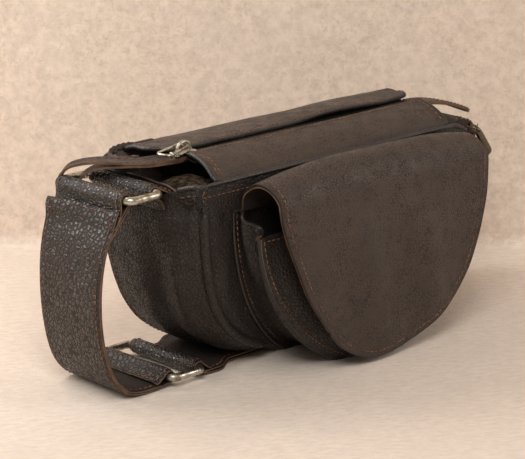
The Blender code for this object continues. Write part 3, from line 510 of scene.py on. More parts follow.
def leather_material(name, tint, grain, depth, roughness, gloss=0.5, patches=0.5, seam=0.4):
    """Full-grain leather: pebbles with creases between them, soft shade patches and fine pores."""
    recipe = Recipe(name, roughness, specular=gloss)
    place = recipe.place()
    bend = recipe.add("ShaderNodeTexNoise", {"Vector": place, "Scale": 0.45 / grain, "Detail": 2.0})
    centred = recipe.add("ShaderNodeVectorMath", operation="SUBTRACT")
    recipe.feed(centred.inputs[0], bend.outputs["Color"])
    centred.inputs[1].default_value = (0.5, 0.5, 0.5)
    bent = recipe.add("ShaderNodeVectorMath", operation="MULTIPLY_ADD")
    recipe.feed(bent.inputs[0], centred.outputs[0])
    bent.inputs[1].default_value = (grain * 0.7,) * 3
    recipe.feed(bent.inputs[2], place)
    cells = recipe.add("ShaderNodeTexVoronoi", {"Vector": bent.outputs[0], "Scale": 1 / grain},
                       feature="DISTANCE_TO_EDGE")
    pebble = recipe.span(cells.outputs["Distance"], 0.02, 0.30)
    fine = recipe.noise(place, grain * 0.28, 3.0, 0.6)
    wide = recipe.noise(place, 0.034, 3.0, 0.55)
    mid = recipe.noise(place, 0.009, 2.0, 0.5)
    spread = recipe.math("MULTIPLY_ADD", wide, 0.6, recipe.math("MULTIPLY", mid, 0.4))
    amount = recipe.span(spread, 0.32, 0.64, 1 - patches, 1.0)
    raised = recipe.math("MULTIPLY", pebble, amount)
    height = recipe.math("MULTIPLY_ADD", fine, 0.05, raised)
    # This mask marks the creases between pebbles: it darkens the colour there as painted shade, and roughens
    # them.
    crease_shade = recipe.math("MULTIPLY", recipe.span(pebble, 0.0, 0.5, 1.0, 0.0), amount)
    base = recipe.blend(recipe.span(wide, 0.3, 0.7), tone(tint, 0.82), tone(tint, 1.2))
    base = recipe.blend(recipe.math("MULTIPLY", crease_shade, 0.75), base, tone(tint, 0.25))
    # Darker near the piece's rim: partly a darker burnished edge, partly painted shade in the seam grooves.
    edge = recipe.span(recipe.attribute("rim"), 0.0006, 0.0045, seam, 0.0)
    base = recipe.blend(edge, base, tone(tint, 0.22))
    shine = recipe.span(mid, 0.25, 0.75, roughness - 0.05, roughness + 0.07)
    shine = recipe.math("MULTIPLY_ADD", crease_shade, 0.42, shine)
    return recipe.finish(base, shine, height, depth)


@finish_named("smooth_leather")
def smooth_leather(name):
    """The top panels and the tabs: fine grain, worn flat in places."""
    return leather_material(name, "leather", 0.0013, 0.00010, 0.44, patches=0.75)


@finish_named("flap_leather")
def flap_leather(name):
    """The flap: fine grain, a little more open."""
    return leather_material(name, "leather", 0.0016, 0.00018, 0.40, patches=0.6)


@finish_named("pebbled_leather")
def pebbled_leather(name):
    """The body: open grain in even pebbles."""
    # Strong painted shade along the seams of the body's panels.
    return leather_material(name, "leather_deep", 0.0024, 0.00026, 0.38, patches=0.15, seam=0.8)


@finish_named("strap_leather_grain")
def strap_leather(name):
    """The strap's outer face: the largest pebbles, polished by wear."""
    return leather_material(name, "strap_leather", 0.0030, 0.00034, 0.30, patches=0.15)


@finish_named("glossy_leather")
def glossy_leather(name):
    """The folded ends of straps and loops, stretched and polished round their bars."""
    return leather_material(name, "leather_deep", 0.0026, 0.00030, 0.24, 0.65, patches=0.15)


@finish_named("rolled_leather")
def edge_leather(name):
    """Rolled and painted edges."""
    return leather_material(name, "leather_deep", 0.0009, 0.00004, 0.26, 0.6, patches=0.3)


@finish_named("cut_edge")
def cut_edge(name):
    """The raw edge of the hide: tan fibres, darker where the dye has soaked in."""
    recipe = Recipe(name, 0.75)
    place = recipe.place()
    fibre = recipe.noise(place, 0.0006, 3.0, 0.7)
    soak = recipe.noise(place, 0.007, 2.0)
    base = recipe.blend(recipe.span(soak, 0.35, 0.7), tone("cut_edge"), tone("cut_edge", 0.45))
    base = recipe.blend(recipe.span(fibre, 0.45, 0.8, 0.0, 0.5), base, tone("cut_edge", 1.5))
    return recipe.finish(base, recipe.span(fibre, 0.2, 0.8, 0.65, 0.85), fibre, 0.0002)


@finish_named("inner_leather")
def flesh_side(name):
    """The inner face of the strap and flap: dyed, matt and finely grained."""
    return leather_material(name, "leather_deep", 0.0011, 0.00006, 0.6, 0.35, patches=0.6)


@finish_named("lining_cloth")
def lining_cloth(name):
    """Brushed cotton: a fine plain weave under a short nap."""
    recipe = Recipe(name, 0.9, specular=0.2)
    recipe.shader.inputs["Sheen Weight"].default_value = 0.35
    place = recipe.place()
    warp, weft = recipe.wave(place, 900.0, 1.5, "X"), recipe.wave(place, 900.0, 1.5, "Y")
    weave = recipe.math("MULTIPLY", warp, weft)
    soil = recipe.noise(place, 0.012, 3.0)
    base = recipe.blend(recipe.span(soil, 0.3, 0.7), tone("lining", 0.6), tone("lining", 1.15))
    return recipe.finish(base, recipe.span(soil, 0.2, 0.8, 0.82, 0.95), weave, 0.00012)


@finish_named("suede")
def suede(name):
    """The bag's ends are lined with the hide's own rough side, rubbed pale by the front corner."""
    recipe = Recipe(name, 0.8, specular=0.3)
    place = recipe.place()
    nap = recipe.noise(place, 0.0008, 4.0, 0.7)
    # Random mottle of the suede's tone; it also breaks the painted light below into patches.
    rubbed = recipe.noise(place, 0.0034, 4.0, 0.7)
    split = recipe.add("ShaderNodeSeparateXYZ", {"Vector": place})
    front = recipe.span(split.outputs["Y"], 0.004, -0.016)
    inner = recipe.span(recipe.math("ABSOLUTE", split.outputs["X"]), 0.124, 0.108)
    left = recipe.math("LESS_THAN", split.outputs["X"], 0.0)
    # Painted light: a paler patch towards the front and the middle of the left end's suede; the darker suede
    # around it is partly painted shade.
    pale = recipe.math("MULTIPLY", recipe.math("MULTIPLY", front, inner), recipe.span(rubbed, 0.42, 0.60))
    pale = recipe.math("MULTIPLY", pale, left)
    base = recipe.blend(recipe.span(rubbed, 0.35, 0.75), tone("suede", 0.45), tone("suede"))
    base = recipe.blend(pale, base, tone("suede_painted_light"))
    base = recipe.blend(recipe.span(nap, 0.45, 0.8, 0.0, 0.4), base, tone("suede", 0.4))
    return recipe.finish(base, recipe.span(nap, 0.2, 0.8, 0.7, 0.9), nap, 0.0003)


@finish_named("thread")
def thread_material(name):
    """Waxed rust-coloured thread with a two-ply twist."""
    recipe = Recipe(name, 0.6)
    place = recipe.place()
    twist = recipe.wave(place, 700.0, 2.0, "DIAGONAL")
    worn = recipe.noise(place, 0.011, 2.0)
    base = recipe.blend(recipe.span(worn, 0.38, 0.62), tone("thread", 0.38), tone("thread", 1.15))
    return recipe.finish(base, recipe.span(worn, 0.3, 0.7, 0.7, 0.5), twist, 0.00008)


def nickel_material(name, tarnish_low, tarnish_high, film):
    """Nickel under a brown film, thickest in its hollows."""
    recipe = Recipe(name, 0.3, 1.0)
    place = recipe.place()
    tarnish = recipe.noise(place, 0.0045, 4.0, 0.65)
    pits = recipe.noise(place, 0.0007, 2.0, 0.6)
    base = recipe.blend(recipe.span(tarnish, tarnish_low, tarnish_high), tone("metal"), tone("tarnish", film))
    shine = recipe.span(tarnish, 0.35, 0.7, 0.24, 0.48)
    height = recipe.math("MULTIPLY_ADD", tarnish, 0.6, pits)
    return recipe.finish(base, shine, height, 0.00006)


@finish_named("antique_nickel")
def nickel(name):
    """Antique nickel, bright where it rubs."""
    return nickel_material(name, 0.42, 0.66, 1.0)


@finish_named("dull_nickel")
def dull_nickel(name):
    """The same metal, dull all over."""
    return nickel_material(name, 0.15, 0.45, 0.55)


@finish_named("oxidised_teeth")
def dark_metal(name):
    """The zip's teeth: oxidised brass, rubbed on their tips."""
    recipe = Recipe(name, 0.42, 1.0)
    place = recipe.place()
    rub = recipe.noise(place, 0.002, 2.0)
    base = recipe.blend(recipe.span(rub, 0.4, 0.7), tone("tarnish", 0.35), tone("tarnish", 0.9))
    return recipe.finish(base, recipe.span(rub, 0.3, 0.7, 0.5, 0.32), rub, 0.00004)


@finish_named("tape_cloth")
def tape_cloth(name):
    """Herringbone zip tape."""
    recipe = Recipe(name, 0.88, specular=0.25)
    place = recipe.place()
    rib = recipe.wave(place, 520.0, 0.6, "DIAGONAL")
    dust = recipe.noise(place, 0.006, 3.0)
    base = recipe.blend(recipe.span(dust, 0.4, 0.8), tone("tape"), tone("tape", 2.2))
    return recipe.finish(base, recipe.span(dust, 0.3, 0.7, 0.82, 0.93), rib, 0.00015)


def panel_looks():
    """Finishes of the body's panels: face, back and edge."""
    return [pebbled_leather(), lining_cloth(), pebbled_leather()]


# The gusset and the body panels
REAR_LINE = half_moon(HALF_LENGTH, BODY_TOP, BODY_TOP, BODY_POWER, BASE_Z, GUSSET_TOP)
FRONT_LINE = half_moon(FRONT_HALF, FRONT_TOP, FRONT_TOP, FRONT_POWER, BASE_Z, FRONT_TOP - 0.0005)
CORNER_ROLL = 0.005
CORNER_FULL = 0.0018
SLUMP_IN = 0.013
SLUMP_DOWN = 0.005


def draw_in(points):
    """The right front corner has slumped inwards under the flap."""
    x, y, z = points[..., 0], points[..., 1], points[..., 2]
    share = smooth((x - 0.095) / 0.035) * smooth((-y - 0.012) / 0.034) * smooth((z - 0.075) / 0.04)
    points[..., 0] -= SLUMP_IN * share
    points[..., 2] -= SLUMP_DOWN * share
    return points


def gusset_surface(u, v):
    """From the back seam round to the rolled corner beside the front seam."""
    rear, rear_out = REAR_LINE.point(u), outward(REAR_LINE.run(u))
    front, front_out = FRONT_LINE.point(u), outward(FRONT_LINE.run(u))
    turn = smooth((v - 0.62) / 0.33)
    middle = rear + (front - rear) * turn[..., None]
    out = rear_out + (front_out - rear_out) * turn[..., None]
    out = out / np.linalg.norm(out, axis=-1)[..., None]
    sideways = np.abs(out[..., 0])
    height = middle[..., 1]
    opened = pleat_share(height)
    roll = smooth((v - 0.9) / 0.1) * pi / 2
    flat_share = np.minimum(v / 0.9, 1.0)
    low_hang = smooth((0.1 - height) / 0.03) * sideways
    dip = bell(flat_share - 0.66, 0.13) * 0.0048 * low_hang
    ridge = bell(flat_share - 0.90, 0.09) * 0.0042 * low_hang
    swell = np.sin(pi * np.clip(flat_share, 0, 1)) * 0.0022 * low_hang
    inset = (1 - np.cos(roll)) * CORNER_ROLL - CORNER_FULL * opened * (1 - np.sin(roll))
    bulge = swell + ridge - dip - inset
    place = middle + out * bulge[..., None]
    rear_edge = REAR_Y - PANEL_THICK
    face = front_y(place[..., 1])
    front_edge = face + CORNER_ROLL
    y = rear_edge + (front_edge - rear_edge) * flat_share - np.sin(roll) * CORNER_ROLL
    points = np.stack([place[..., 0], y, np.maximum(place[..., 1], BASE_Z)], -1)
    wrinkle = crumple(points * (1, 1, 0.55), 0.021, 2) * 0.0010
    wrinkle += value_noise(points * (1, 1, 0.4), 0.008, 5) * 0.00035
    firm = smooth((points[..., 2] - BASE_Z) / 0.02) * smooth((GUSSET_TOP - points[..., 2]) / 0.01)
    shift = np.stack([out[..., 0], np.zeros_like(y), out[..., 1]], -1) * (wrinkle * firm)[..., None]
    return draw_in(points + shift)


def front_outline(v):
    """Half width and height of the front panel, from its foot (0) to its top (1)."""
    drop = FRONT_TOP + FRONT_UNDERCUT
    last = np.arcsin((FRONT_TOP / drop) ** (FRONT_POWER / 2))
    turn = last * (1 - v)
    half = FRONT_HALF * np.cos(turn) ** (2 / FRONT_POWER)
    return half, FRONT_TOP - drop * np.sin(turn) ** (2 / FRONT_POWER)


def front_surface(u, v):
    """The front panel inside its pleats, with loose folds beside them."""
    half, z = front_outline(v)
    inset = (CORNER_ROLL + 0.0005) * pleat_share(z)
    half = np.maximum(half - inset, 0.002)
    x = half * (2 * u - 1)
    rim = half - np.abs(x)
    opened = pleat_share(z)
    y = front_y(z)
    y = y + opened * (0.0026 * bell(rim, 0.0030) - 0.0016 * bell(rim - 0.011, 0.008))
    points = np.stack([x, y, z], -1)
    strip = smooth((np.abs(x) - 0.080) / 0.012) * smooth((0.122 - z) / 0.02) * smooth(z / 0.02)
    folds = value_noise(points * (1, 1, 0.22), 0.0075, 7) * 0.0011 * strip
    wide = crumple(points, 0.024, 8) * 0.0007 * smooth((FRONT_TOP - z) / 0.01)
    points[..., 1] += folds + wide
    return draw_in(points)


def back_surface(u, v):
    """The flat back panel."""
    turn = (1 - v) * pi / 2
    half = HALF_LENGTH * np.cos(turn) ** (2 / BODY_POWER)
    z = np.maximum(BACK_HIGH.z - (BACK_HIGH.z - BASE_Z) * np.sin(turn) ** (2 / BODY_POWER), BASE_Z)
    x = -np.maximum(half, 0.03) * (2 * u - 1)
    z = z + 0.0034 * smooth((z - 0.112) / 0.018) * smooth((0.131 - np.abs(x)) / 0.012)
    points = np.stack([x, np.full_like(x, REAR_Y), z], -1)
    sag = crumple(points, 0.035, 11) * 0.0012 + value_noise(points * (0.35, 1, 1), 0.014, 12) * 0.0004
    points[..., 1] += sag * smooth((HALF_LENGTH - np.abs(x)) / 0.02) - 0.0006
    return points


def build_gusset():
    """The gusset with its back seam and the rolled tops of its ends."""
    piece = lay_grid("gusset_leather", gusset_surface, 260, 88)
    thicken(piece, PANEL_THICK, panel_looks())
    settle(piece, "bag", "gusset")
    rows = [seam_on(gusset_surface, np.linspace(start, end, 12), np.full(12, 0.045))
            for start, end in ((0.002, 0.30), (0.70, 0.998))]
    sew("gusset_back_stitches", rows, "bag")
    rows = [seam_on(gusset_surface, np.full(8, u), np.linspace(0.80, 0.995, 8)) for u in (0.011, 0.989)]
    sew("gusset_top_stitches", rows, "bag")
    for word, u in (("left", 0.0), ("right", 1.0)):
        edge_roll("gusset_top_roll_" + word, gusset_surface, np.full(40, u), np.linspace(0.775, 1.0, 40),
                  lambda route, face: route + (0, 0, 0.0004) - face * 0.0008)


def build_panels():
    """The front and back panels with their rolled tops and seams."""
    piece = lay_grid("front_leather", front_surface, 240, 120)
    thicken(piece, PANEL_THICK, panel_looks())
    settle(piece, "bag", "front_panel")
    piece = lay_grid("back_leather", back_surface, 160, 90)
    thicken(piece, PANEL_THICK, panel_looks())
    settle(piece, "bag", "back_panel")
    us, vs = np.linspace(0.84, 1.0, 40), np.full(40, 1.0)
    edge_roll("back_top_roll", back_surface, us, vs,
              lambda route, face: route - face * 0.0012 + (0, 0, 0.0006))
    line = frame_on(back_surface, us, vs)[0] + (0, -0.0028, 0.0002)
    sew("back_top_stitches", [(line, np.tile([0.0, -0.6, 0.8], (40, 1)))], "bag")
    row = seam_on(front_surface, np.linspace(0.012, 0.988, 60), np.full(60, 0.985))
    sew("front_top_stitches", [row], "bag")
    edge_roll("front_top_roll", front_surface, np.linspace(0.0, 1.0, 160), np.full(160, 1.0),
              lambda route, face: route - face * 0.0006 + (0, 0, 0.0002), 0.0015)


def pleat_route(side):
    """The line of the front seam on one side, from the pleat's top down to the bag's bottom."""
    line = half_moon(FRONT_HALF, FRONT_TOP, FRONT_TOP, FRONT_POWER, 0.0035)
    places = line.points[(line.points[:, 0] * side > 0) & (line.points[:, 1] < PLEAT_TOP - 0.001)]
    places = places[np.argsort(-places[:, 1], kind="stable")]
    places = places[np.abs(places[:, 0]) > 0.052]
    track = Guide(places)
    share = np.linspace(0, 1, 90)
    at = track.point(share)
    run = track.run(share)
    out = np.stack([run[:, 1], -run[:, 0]], 1) * side
    out *= np.sign(out[:, :1] * side)
    inside = at - out * 0.0036
    y = front_y(inside[:, 1]) - 0.0012
    return np.stack([inside[:, 0], y, inside[:, 1]], 1)


def build_pleats():
    """The rolled leather that stands in each front seam, and the zigzag seam above it."""
    for side, word in ENDS:
        route = pleat_route(side)
        piece = round_strip("pleat_" + word, route, 0.0031, pebbled_leather(), ends=0.15, sides=6)
        settle(piece, "bag", "seam_welt_" + word)
        z = np.linspace(FRONT_TOP - 0.001, PLEAT_TOP - 0.004, 30)
        halves, heights = front_outline(np.linspace(0, 1, 400))
        half = np.interp(z, heights, halves)
        line = np.stack([side * (half - 0.0035), front_y(z) - 0.0004, z], 1)
        normal = np.tile([0.0, -1.0, 0.0], (30, 1))
        sew("pleat_head_stitches_" + word, [(line, normal)], "bag", sway=0.5)


# The top of the bag
ZIP_Y = (SLIDER_LOW.y + SLIDER_HIGH.y) / 2
SLOT_HALF = abs(TOP_FRONT_HIGH.y - ZIP_Y)
TOP_EDGE_Z = TOP_FRONT_HIGH.z


def top_front_surface(u, v):
    """Front top panel: v runs from the front edge up to the zip."""
    y = FRONT_TOP_Y + 0.0010 + (ZIP_Y - SLOT_HALF - FRONT_TOP_Y - 0.0010) * v
    left = TOP_FRONT_HIGH.x + 0.0075 + 0.0045 * (1 - v) ** 2
    right = TOP_FRONT_HIGH.x - 0.0035 * (1 - v)
    half = np.where(u < 0.5, left, right)
    x = (2 * u - 1) * half
    low = FRONT_TOP + 0.0012
    z = low + (TOP_EDGE_Z - low) * v + 0.0030 * np.sin(pi * v ** 0.8)
    points = np.stack([x, y, z], -1)
    slack = crumple(points * (0.6, 1, 1), 0.022, 21) * 0.0007 + value_noise(points, 0.05, 22) * 0.0006
    edge = smooth(v / 0.12) * smooth((1 - v) / 0.12) * 0.7 + 0.3
    points[..., 2] += slack * edge
    points[..., 2] += 0.0008 * bell((half - np.abs(x)) - 0.001, 0.004)
    return points


# The rear panel's left end: shares of the way from the back edge to the lip, and how far out it lies there
LEFT_END_AT = (0.0, 0.1, 0.3, 0.52, 0.64, 0.74, 0.85, 1.0)
LEFT_END_OUT = (0.1165, 0.1155, 0.1148, 0.1150, 0.1135, 0.1100, 0.1088, 0.1088)


def top_rear_surface(u, v):
    """Rear top panel: v runs from the back edge to the lip that overhangs the zip."""
    y = REAR_Y + 0.0004 + (ZIP_Y + SLOT_HALF - 0.0018 - REAR_Y) * v
    half = TOP_REAR_HIGH.x + (TOP_FRONT_HIGH.x - 0.002 - TOP_REAR_HIGH.x) * v
    x = -(2 * u - 1) * np.where(u > 0.5, np.interp(v, LEFT_END_AT, LEFT_END_OUT), half)
    low = BACK_HIGH.z + 0.0038
    lip = TOP_EDGE_Z + 0.0010
    z = low + (lip - low) * v + 0.0014 * np.sin(pi * v)
    points = np.stack([x, y, z], -1)
    right = smooth((x + 0.03) / 0.08)
    wave = np.sin(x * 52 + 0.6) * 0.0015 * right * v
    points[..., 2] += wave + 0.0016 * right * v + crumple(points * (0.6, 1, 1), 0.022, 24) * 0.0008
    points[..., 1] -= 0.0012 * right * v * np.sin(x * 40)
    points[..., 2] -= 0.0065 * smooth((x - 0.096) / 0.034)
    end = smooth((-x - 0.088) / 0.016)
    points[..., 2] -= 0.0010 * end * (1 - v) - 0.0016 * end * bell(v - 0.25, 0.2)
    return points


def build_top():
    """The two top panels with their seams and rolled ends."""
    looks = [smooth_leather(), lining_cloth(), edge_leather()]
    piece = lay_grid("top_front_leather", top_front_surface, 200, 40)
    thicken(piece, PANEL_THICK, looks)
    settle(piece, "bag", "top_panel_front")
    piece = lay_grid("top_rear_leather", top_rear_surface, 240, 44)
    thicken(piece, PANEL_THICK, looks)
    settle(piece, "bag", "top_panel_rear")
    lines = [seam_on(top_front_surface, np.linspace(0.02, 0.98, 30), np.full(30, 0.90)),
             seam_on(top_front_surface, np.full(8, 0.016), np.linspace(0.06, 0.90, 8)),
             seam_on(top_front_surface, np.full(8, 0.984), np.linspace(0.10, 0.90, 8)),
             seam_on(top_front_surface, np.full(8, 0.028), np.linspace(0.06, 0.86, 8))]
    sew("top_front_stitches", lines, "bag")
    lines = [seam_on(top_rear_surface, np.linspace(0.10, 0.985, 30), np.full(30, 0.93)),
             seam_on(top_rear_surface, np.full(12, 0.984), np.linspace(0.04, 0.66, 12))]
    sew("top_rear_stitches", lines, "bag")
    for name, surface, u in (("top_front_roll_left", top_front_surface, 0.0),
                             ("top_front_roll_right", top_front_surface, 1.0),
                             ("top_rear_roll_left", top_rear_surface, 1.0),
                             ("top_rear_roll_right", top_rear_surface, 0.0)):
        edge_roll(name, surface, np.full(40, u), np.linspace(0.0, 1.0, 40),
                  lambda route, face: route - face * 0.0011)
    build_hole_rim()


def build_hole_rim():
    """The strip that runs from the back edge round to the tab and leaves a hole in the corner."""
    guide = Guide(spline([(-0.1080, 0.0282, 0.1358), (-0.1170, 0.0286, 0.1362), (-0.1250, 0.0280, 0.1354),
                          (-0.1305, 0.0245, 0.1340), (-0.1318, 0.0175, 0.1334), (-0.1298, 0.0100, 0.1340),
                          (-0.1250, 0.0035, 0.1352)]))

    def rim(u, v):
        at = guide.point(u)
        run = guide.run(u)
        flat = np.stack([run[..., 1], -run[..., 0], np.zeros_like(u)], -1)
        flat = flat / np.linalg.norm(flat, axis=-1)[..., None]
        across = 2 * v - 1
        lift = 0.0012 * (1 - across ** 2) + crumple(at + flat * across[..., None] * 0.003, 0.008, 26) * 0.0005
        lift = lift - 0.0080 * smooth((-across - 0.05) / 0.95)
        return at - flat * (across * 0.0020)[..., None] + np.stack([0 * u, 0 * u, lift], -1)

    piece = lay_grid("hole_rim", rim, 90, 14)
    thicken(piece, 0.0013, [edge_leather(), flesh_side(), cut_edge()], round_edge=0.0004)
    settle(piece, "bag")
    sew("hole_rim_stitches", [seam_on(rim, np.linspace(0.03, 0.97, 30), np.full(30, 0.55), 120)], "bag")


TAPE_START = 0.007
SLIDER_TAPER = 0.22
PULLER_LENGTH = 0.0205
PULLER_HALF = 0.0050
PULLER_CORNER = 0.0032
PULLER_WIRE = 0.00085


def build_zip():
    """Woven tapes, the teeth's finish, and the slider with its puller."""
    for word, side, node in (("front", -1, "zip_tape_front"), ("rear", 1, "zip_tape_rear")):
        low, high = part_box(node)

        def tape(u, v, side=side, low=low, high=high):
            x = low.x + TAPE_START + (high.x - low.x - TAPE_START) * u
            inner, outer = (high.y, low.y) if side < 0 else (low.y, high.y)
            y = inner + (outer - inner) * v
            top = high.z - 0.0001
            z = top - (top - low.z - 0.0004) * smooth(v * 1.6) + np.sin(x * 300) * 0.0001
            return np.stack([x * np.ones_like(v), y, z], -1)

        piece = lay_grid("tape_" + word, tape, 160, 10)
        thicken(piece, CLOTH_THICK, [tape_cloth()] * 3, inward=side > 0, round_edge=0)
        settle(piece, "bag", node, slot="zip_tape")
    for word in ("front", "rear"):
        node = frame["nodes"]["zip_teeth_" + word]
        node.data.materials.clear()
        node.data.materials.append(dark_metal())
    build_slider()


def cast_plate(name, node, bevel):
    """A slider plate that fills its node's box: drawn in at its tail and rounded all round."""
    low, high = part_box(node)
    deselect()
    centre = (low + high) / 2
    bpy.ops.mesh.primitive_cube_add(size=1.0, location=centre)
    piece = bpy.context.object
    piece.name = name
    piece.scale = high - low
    bpy.ops.object.transform_apply(location=True, rotation=False, scale=True)
    bpy.ops.object.mode_set(mode="EDIT")
    bpy.ops.mesh.select_all(action="SELECT")
    bpy.ops.mesh.subdivide(number_cuts=5)
    bpy.ops.object.mode_set(mode="OBJECT")
    points = read_points(piece.data)
    share = (points[:, 0] - low.x) / (high.x - low.x)
    waist = 1 - SLIDER_TAPER * smooth(share * 1.4 - 0.2) - 0.25 * bell(share, 0.12)
    points[:, 1] = centre.y + (points[:, 1] - centre.y) * waist
    write_points(piece.data, points)
    soften = piece.modifiers.new("edges", "BEVEL")
    soften.width = bevel
    soften.segments = 3
    soften.angle_limit = radians(40)
    apply_modifiers(piece)
    piece.data.materials.append(nickel())
    settle(piece, "slider", node, slot="nickel")


def build_slider():
    """Two cast plates and the bridge that holds the puller."""
    cast_plate("slider_plate", "zip_slider", 0.0005)
    cast_plate("slider_lower_plate", "zip_slider_base", 0.0004)
    low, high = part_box("zip_slider_bridge")
    middle = (low + high) / 2
    reach = (high.x - low.x) / 2 - 0.0007
    turn = np.linspace(0, pi, 28)
    route = np.stack([middle.x + reach * np.cos(turn), np.full(28, middle.y),
                      low.z - 0.0004 + (high.z - low.z + 0.0001) * np.sin(turn) ** 0.75], 1)
    piece = round_strip("slider_bridge", route, 0.00095, nickel(), ends=1.3, sides=6)
    points = read_points(piece.data)
    points[:, 1] = middle.y + (points[:, 1] - middle.y) * 1.35
    write_points(piece.data, points)
    settle(piece, "slider", "zip_slider_bridge", slot="nickel")
    build_puller()


def build_puller():
    """A closed loop of wire, narrow at the bridge and with round corners at its far end."""
    low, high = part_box("zip_puller")
    joint = JOINTS["puller_swing"]
    eye = np.array(joint["pos_m"])
    axis = np.array(joint["axis"])
    along = np.cross((0, 0, 1), axis)
    droop = (high.z - low.z - 0.0016) / PULLER_LENGTH
    flat_axis = np.array((axis[0], axis[1], 0.0))
    out, side = PULLER_LENGTH - PULLER_CORNER, PULLER_HALF - PULLER_CORNER
    turns = [*arc((out, side), PULLER_CORNER, pi / 2, 0, 8), *arc((out, -side), PULLER_CORNER, 0, -pi / 2, 8)]
    flat = [(0.0, -PULLER_HALF * 0.7), (0.0, PULLER_HALF * 0.7), *[(-a, b) for a, b in turns]]
    sign = -1 if along[0] > 0 else 1
    route = [eye + along * sign * -a + flat_axis * b + np.array((0, 0, a * droop)) for a, b in flat]
    piece = round_strip("puller_wire", route, PULLER_WIRE, nickel(), closed=True, sides=5)
    settle(piece, "puller", "zip_puller", slot="nickel")


# Bands of leather: straps, loops and tabs
def band_surface(line, near, far, offset=None, skew=None, bend=0.004):
    """A strip along a line in X-Z, from near to far in Y, that faces the left of the line's run."""
    guide = Guide(line)
    turns = np.linalg.norm(np.diff(guide.runs, axis=0), axis=1)
    spread = np.append(0.0, np.cumsum(np.diff(guide.at) * guide.length + turns * bend))
    spread /= spread[-1]

    def surface(u, v):
        share = np.interp(u, spread, guide.at)
        at = guide.point(share)
        run = guide.run(share)
        low = near(at) if callable(near) else near
        high = far(at) if callable(far) else far
        if offset is not None:
            left = np.stack([-run[..., 1], run[..., 0]], -1)
            at = at + left * offset(share, v)[..., None]
        if skew is not None:
            at = at + skew(share, v)
        return np.stack([at[..., 0], (low + (high - low) * v) * np.ones_like(share), at[..., 1]], -1)

    return surface


def beside(origin, run, places):
    """Points in X-Z, each given by how far it is along a run and to its left."""
    run = np.asarray(run, float)
    left = np.array([-run[1], run[0]])
    return np.array([origin + run * along + left * out for along, out in places])


def uneven(width, size, depth, seed, pinch=0.0006):
    """Uneven fullness for a strip of leather, drawn in along its two sides."""
    def offset(share, v):
        edge = smooth((np.abs(2 * v - 1) - 0.82) / 0.18)
        full = crumple(np.stack([share * 0.23, v * width, 0 * share + seed], -1), size, seed) * depth
        return full * (1 - edge) - pinch * edge
    return offset


def lay_band(name, surface, face, body, columns, rows, *nodes):
    """One layer of a strap: its face's finish, the flesh side behind it and a raw edge."""
    piece = lay_grid(name, surface, columns, rows)
    thicken(piece, SKIN, [face, flesh_side(), cut_edge()], round_edge=0.0005)
    return settle(piece, body, *nodes, slot="strap_leather")


def beside_line(guide, share, shift):
    """The places on a line, each moved to its left by the shift."""
    run = guide.run(share)
    return guide.point(share) + np.stack([-run[:, 1], run[:, 0]], 1) * shift


def strip_rows(surface, width, inset=0.0030, start=0.0, end=1.0):
    """Two stitch rows along the sides of a band."""
    return [seam_on(surface, np.linspace(start, end, 60), np.full(60, v), 300)
            for v in (inset / width, 1 - inset / width)]


def bar_of(joint):
    """Where a joint's bar lies in X-Z."""
    return np.array(JOINTS[joint]["pos_m"])[[0, 2]]


LEFT_BAR = bar_of("strap_left_swing")
LEFT_BAG_BAR = bar_of("ring_left_swing")
LOW_LEFT_BAR = bar_of("ring_lower_swing")
LOW_RIGHT_BAR = bar_of("strap_under_swing")
RIGHT_BAG_BAR = bar_of("ring_right_swing")
RIGHT_BAR = bar_of("strap_right_swing")
RING_WIRE = 0.0025
RING_CORNER = 0.0045
STRAP_THICK = 0.0036
STRAP_HALF = 0.030
STRAP_WIDTH = STRAP_HALF * 2
TUBE_LINE = 0.0048
TUBE_OUTER = 0.0048
LAYER = STRAP_THICK / 2
SKIN = 0.0012
LEFT_LEAVE = radians(-40)
RIGHT_LEAVE = radians(166)
LOOP_BULGE_X = -0.1825
STRAP_TAIL = 0.017
STRAP_SPLIT_X = UNDER_HIGH.x
STRAP_SHIFT = UNDER_HIGH.y - STRAP_HALF


def left_loop_line():
    """The strap's middle line, from the lower ring out and up to the upper ring."""
    floor = STRAP_THICK / 2
    height = LEFT_BAR[1]
    bulge = LOOP_BULGE_X - LOW_LEFT_BAR[0]
    shares = ((0.36, 0.0), (0.62, 0.024), (0.82, 0.115), (0.94, 0.26), (0.995, 0.43), (0.985, 0.61),
              (0.905, 0.77))
    turn = np.array([-sin(LEFT_LEAVE), cos(LEFT_LEAVE)])
    start = LEFT_BAR + TUBE_LINE * np.array([cos(LEFT_LEAVE), sin(LEFT_LEAVE)])
    knots = [(LOW_LEFT_BAR[0] - 0.006, floor)]
    knots += [(LOW_LEFT_BAR[0] + bulge * across, floor + height * up) for across, up in shares]
    knots += [tuple(start - turn * 0.016), tuple(start - turn * 0.002)]
    line = spline(knots)
    line[:, 1] = np.maximum(line[:, 1], floor)
    return line


def strap_lean(begin, end):
    """The loop is twisted: its far side stands out more where it nears the ring."""
    def skew(share, v):
        part = np.clip((share - begin) / (end - begin), 0, 1)
        top = smooth((part - 0.84) / 0.14)
        across = 0.0046 * np.sin(pi * part) * (v - 0.5) - 0.0055 * np.maximum(v - 0.35, 0) * top
        ripple = value_noise(np.stack([v * 0.06, 0 * v, 0 * v + 3.3], -1), 0.009, 35) * 0.0007
        return np.stack([across, ripple * smooth((part - 0.95) / 0.05)], -1)
    return skew


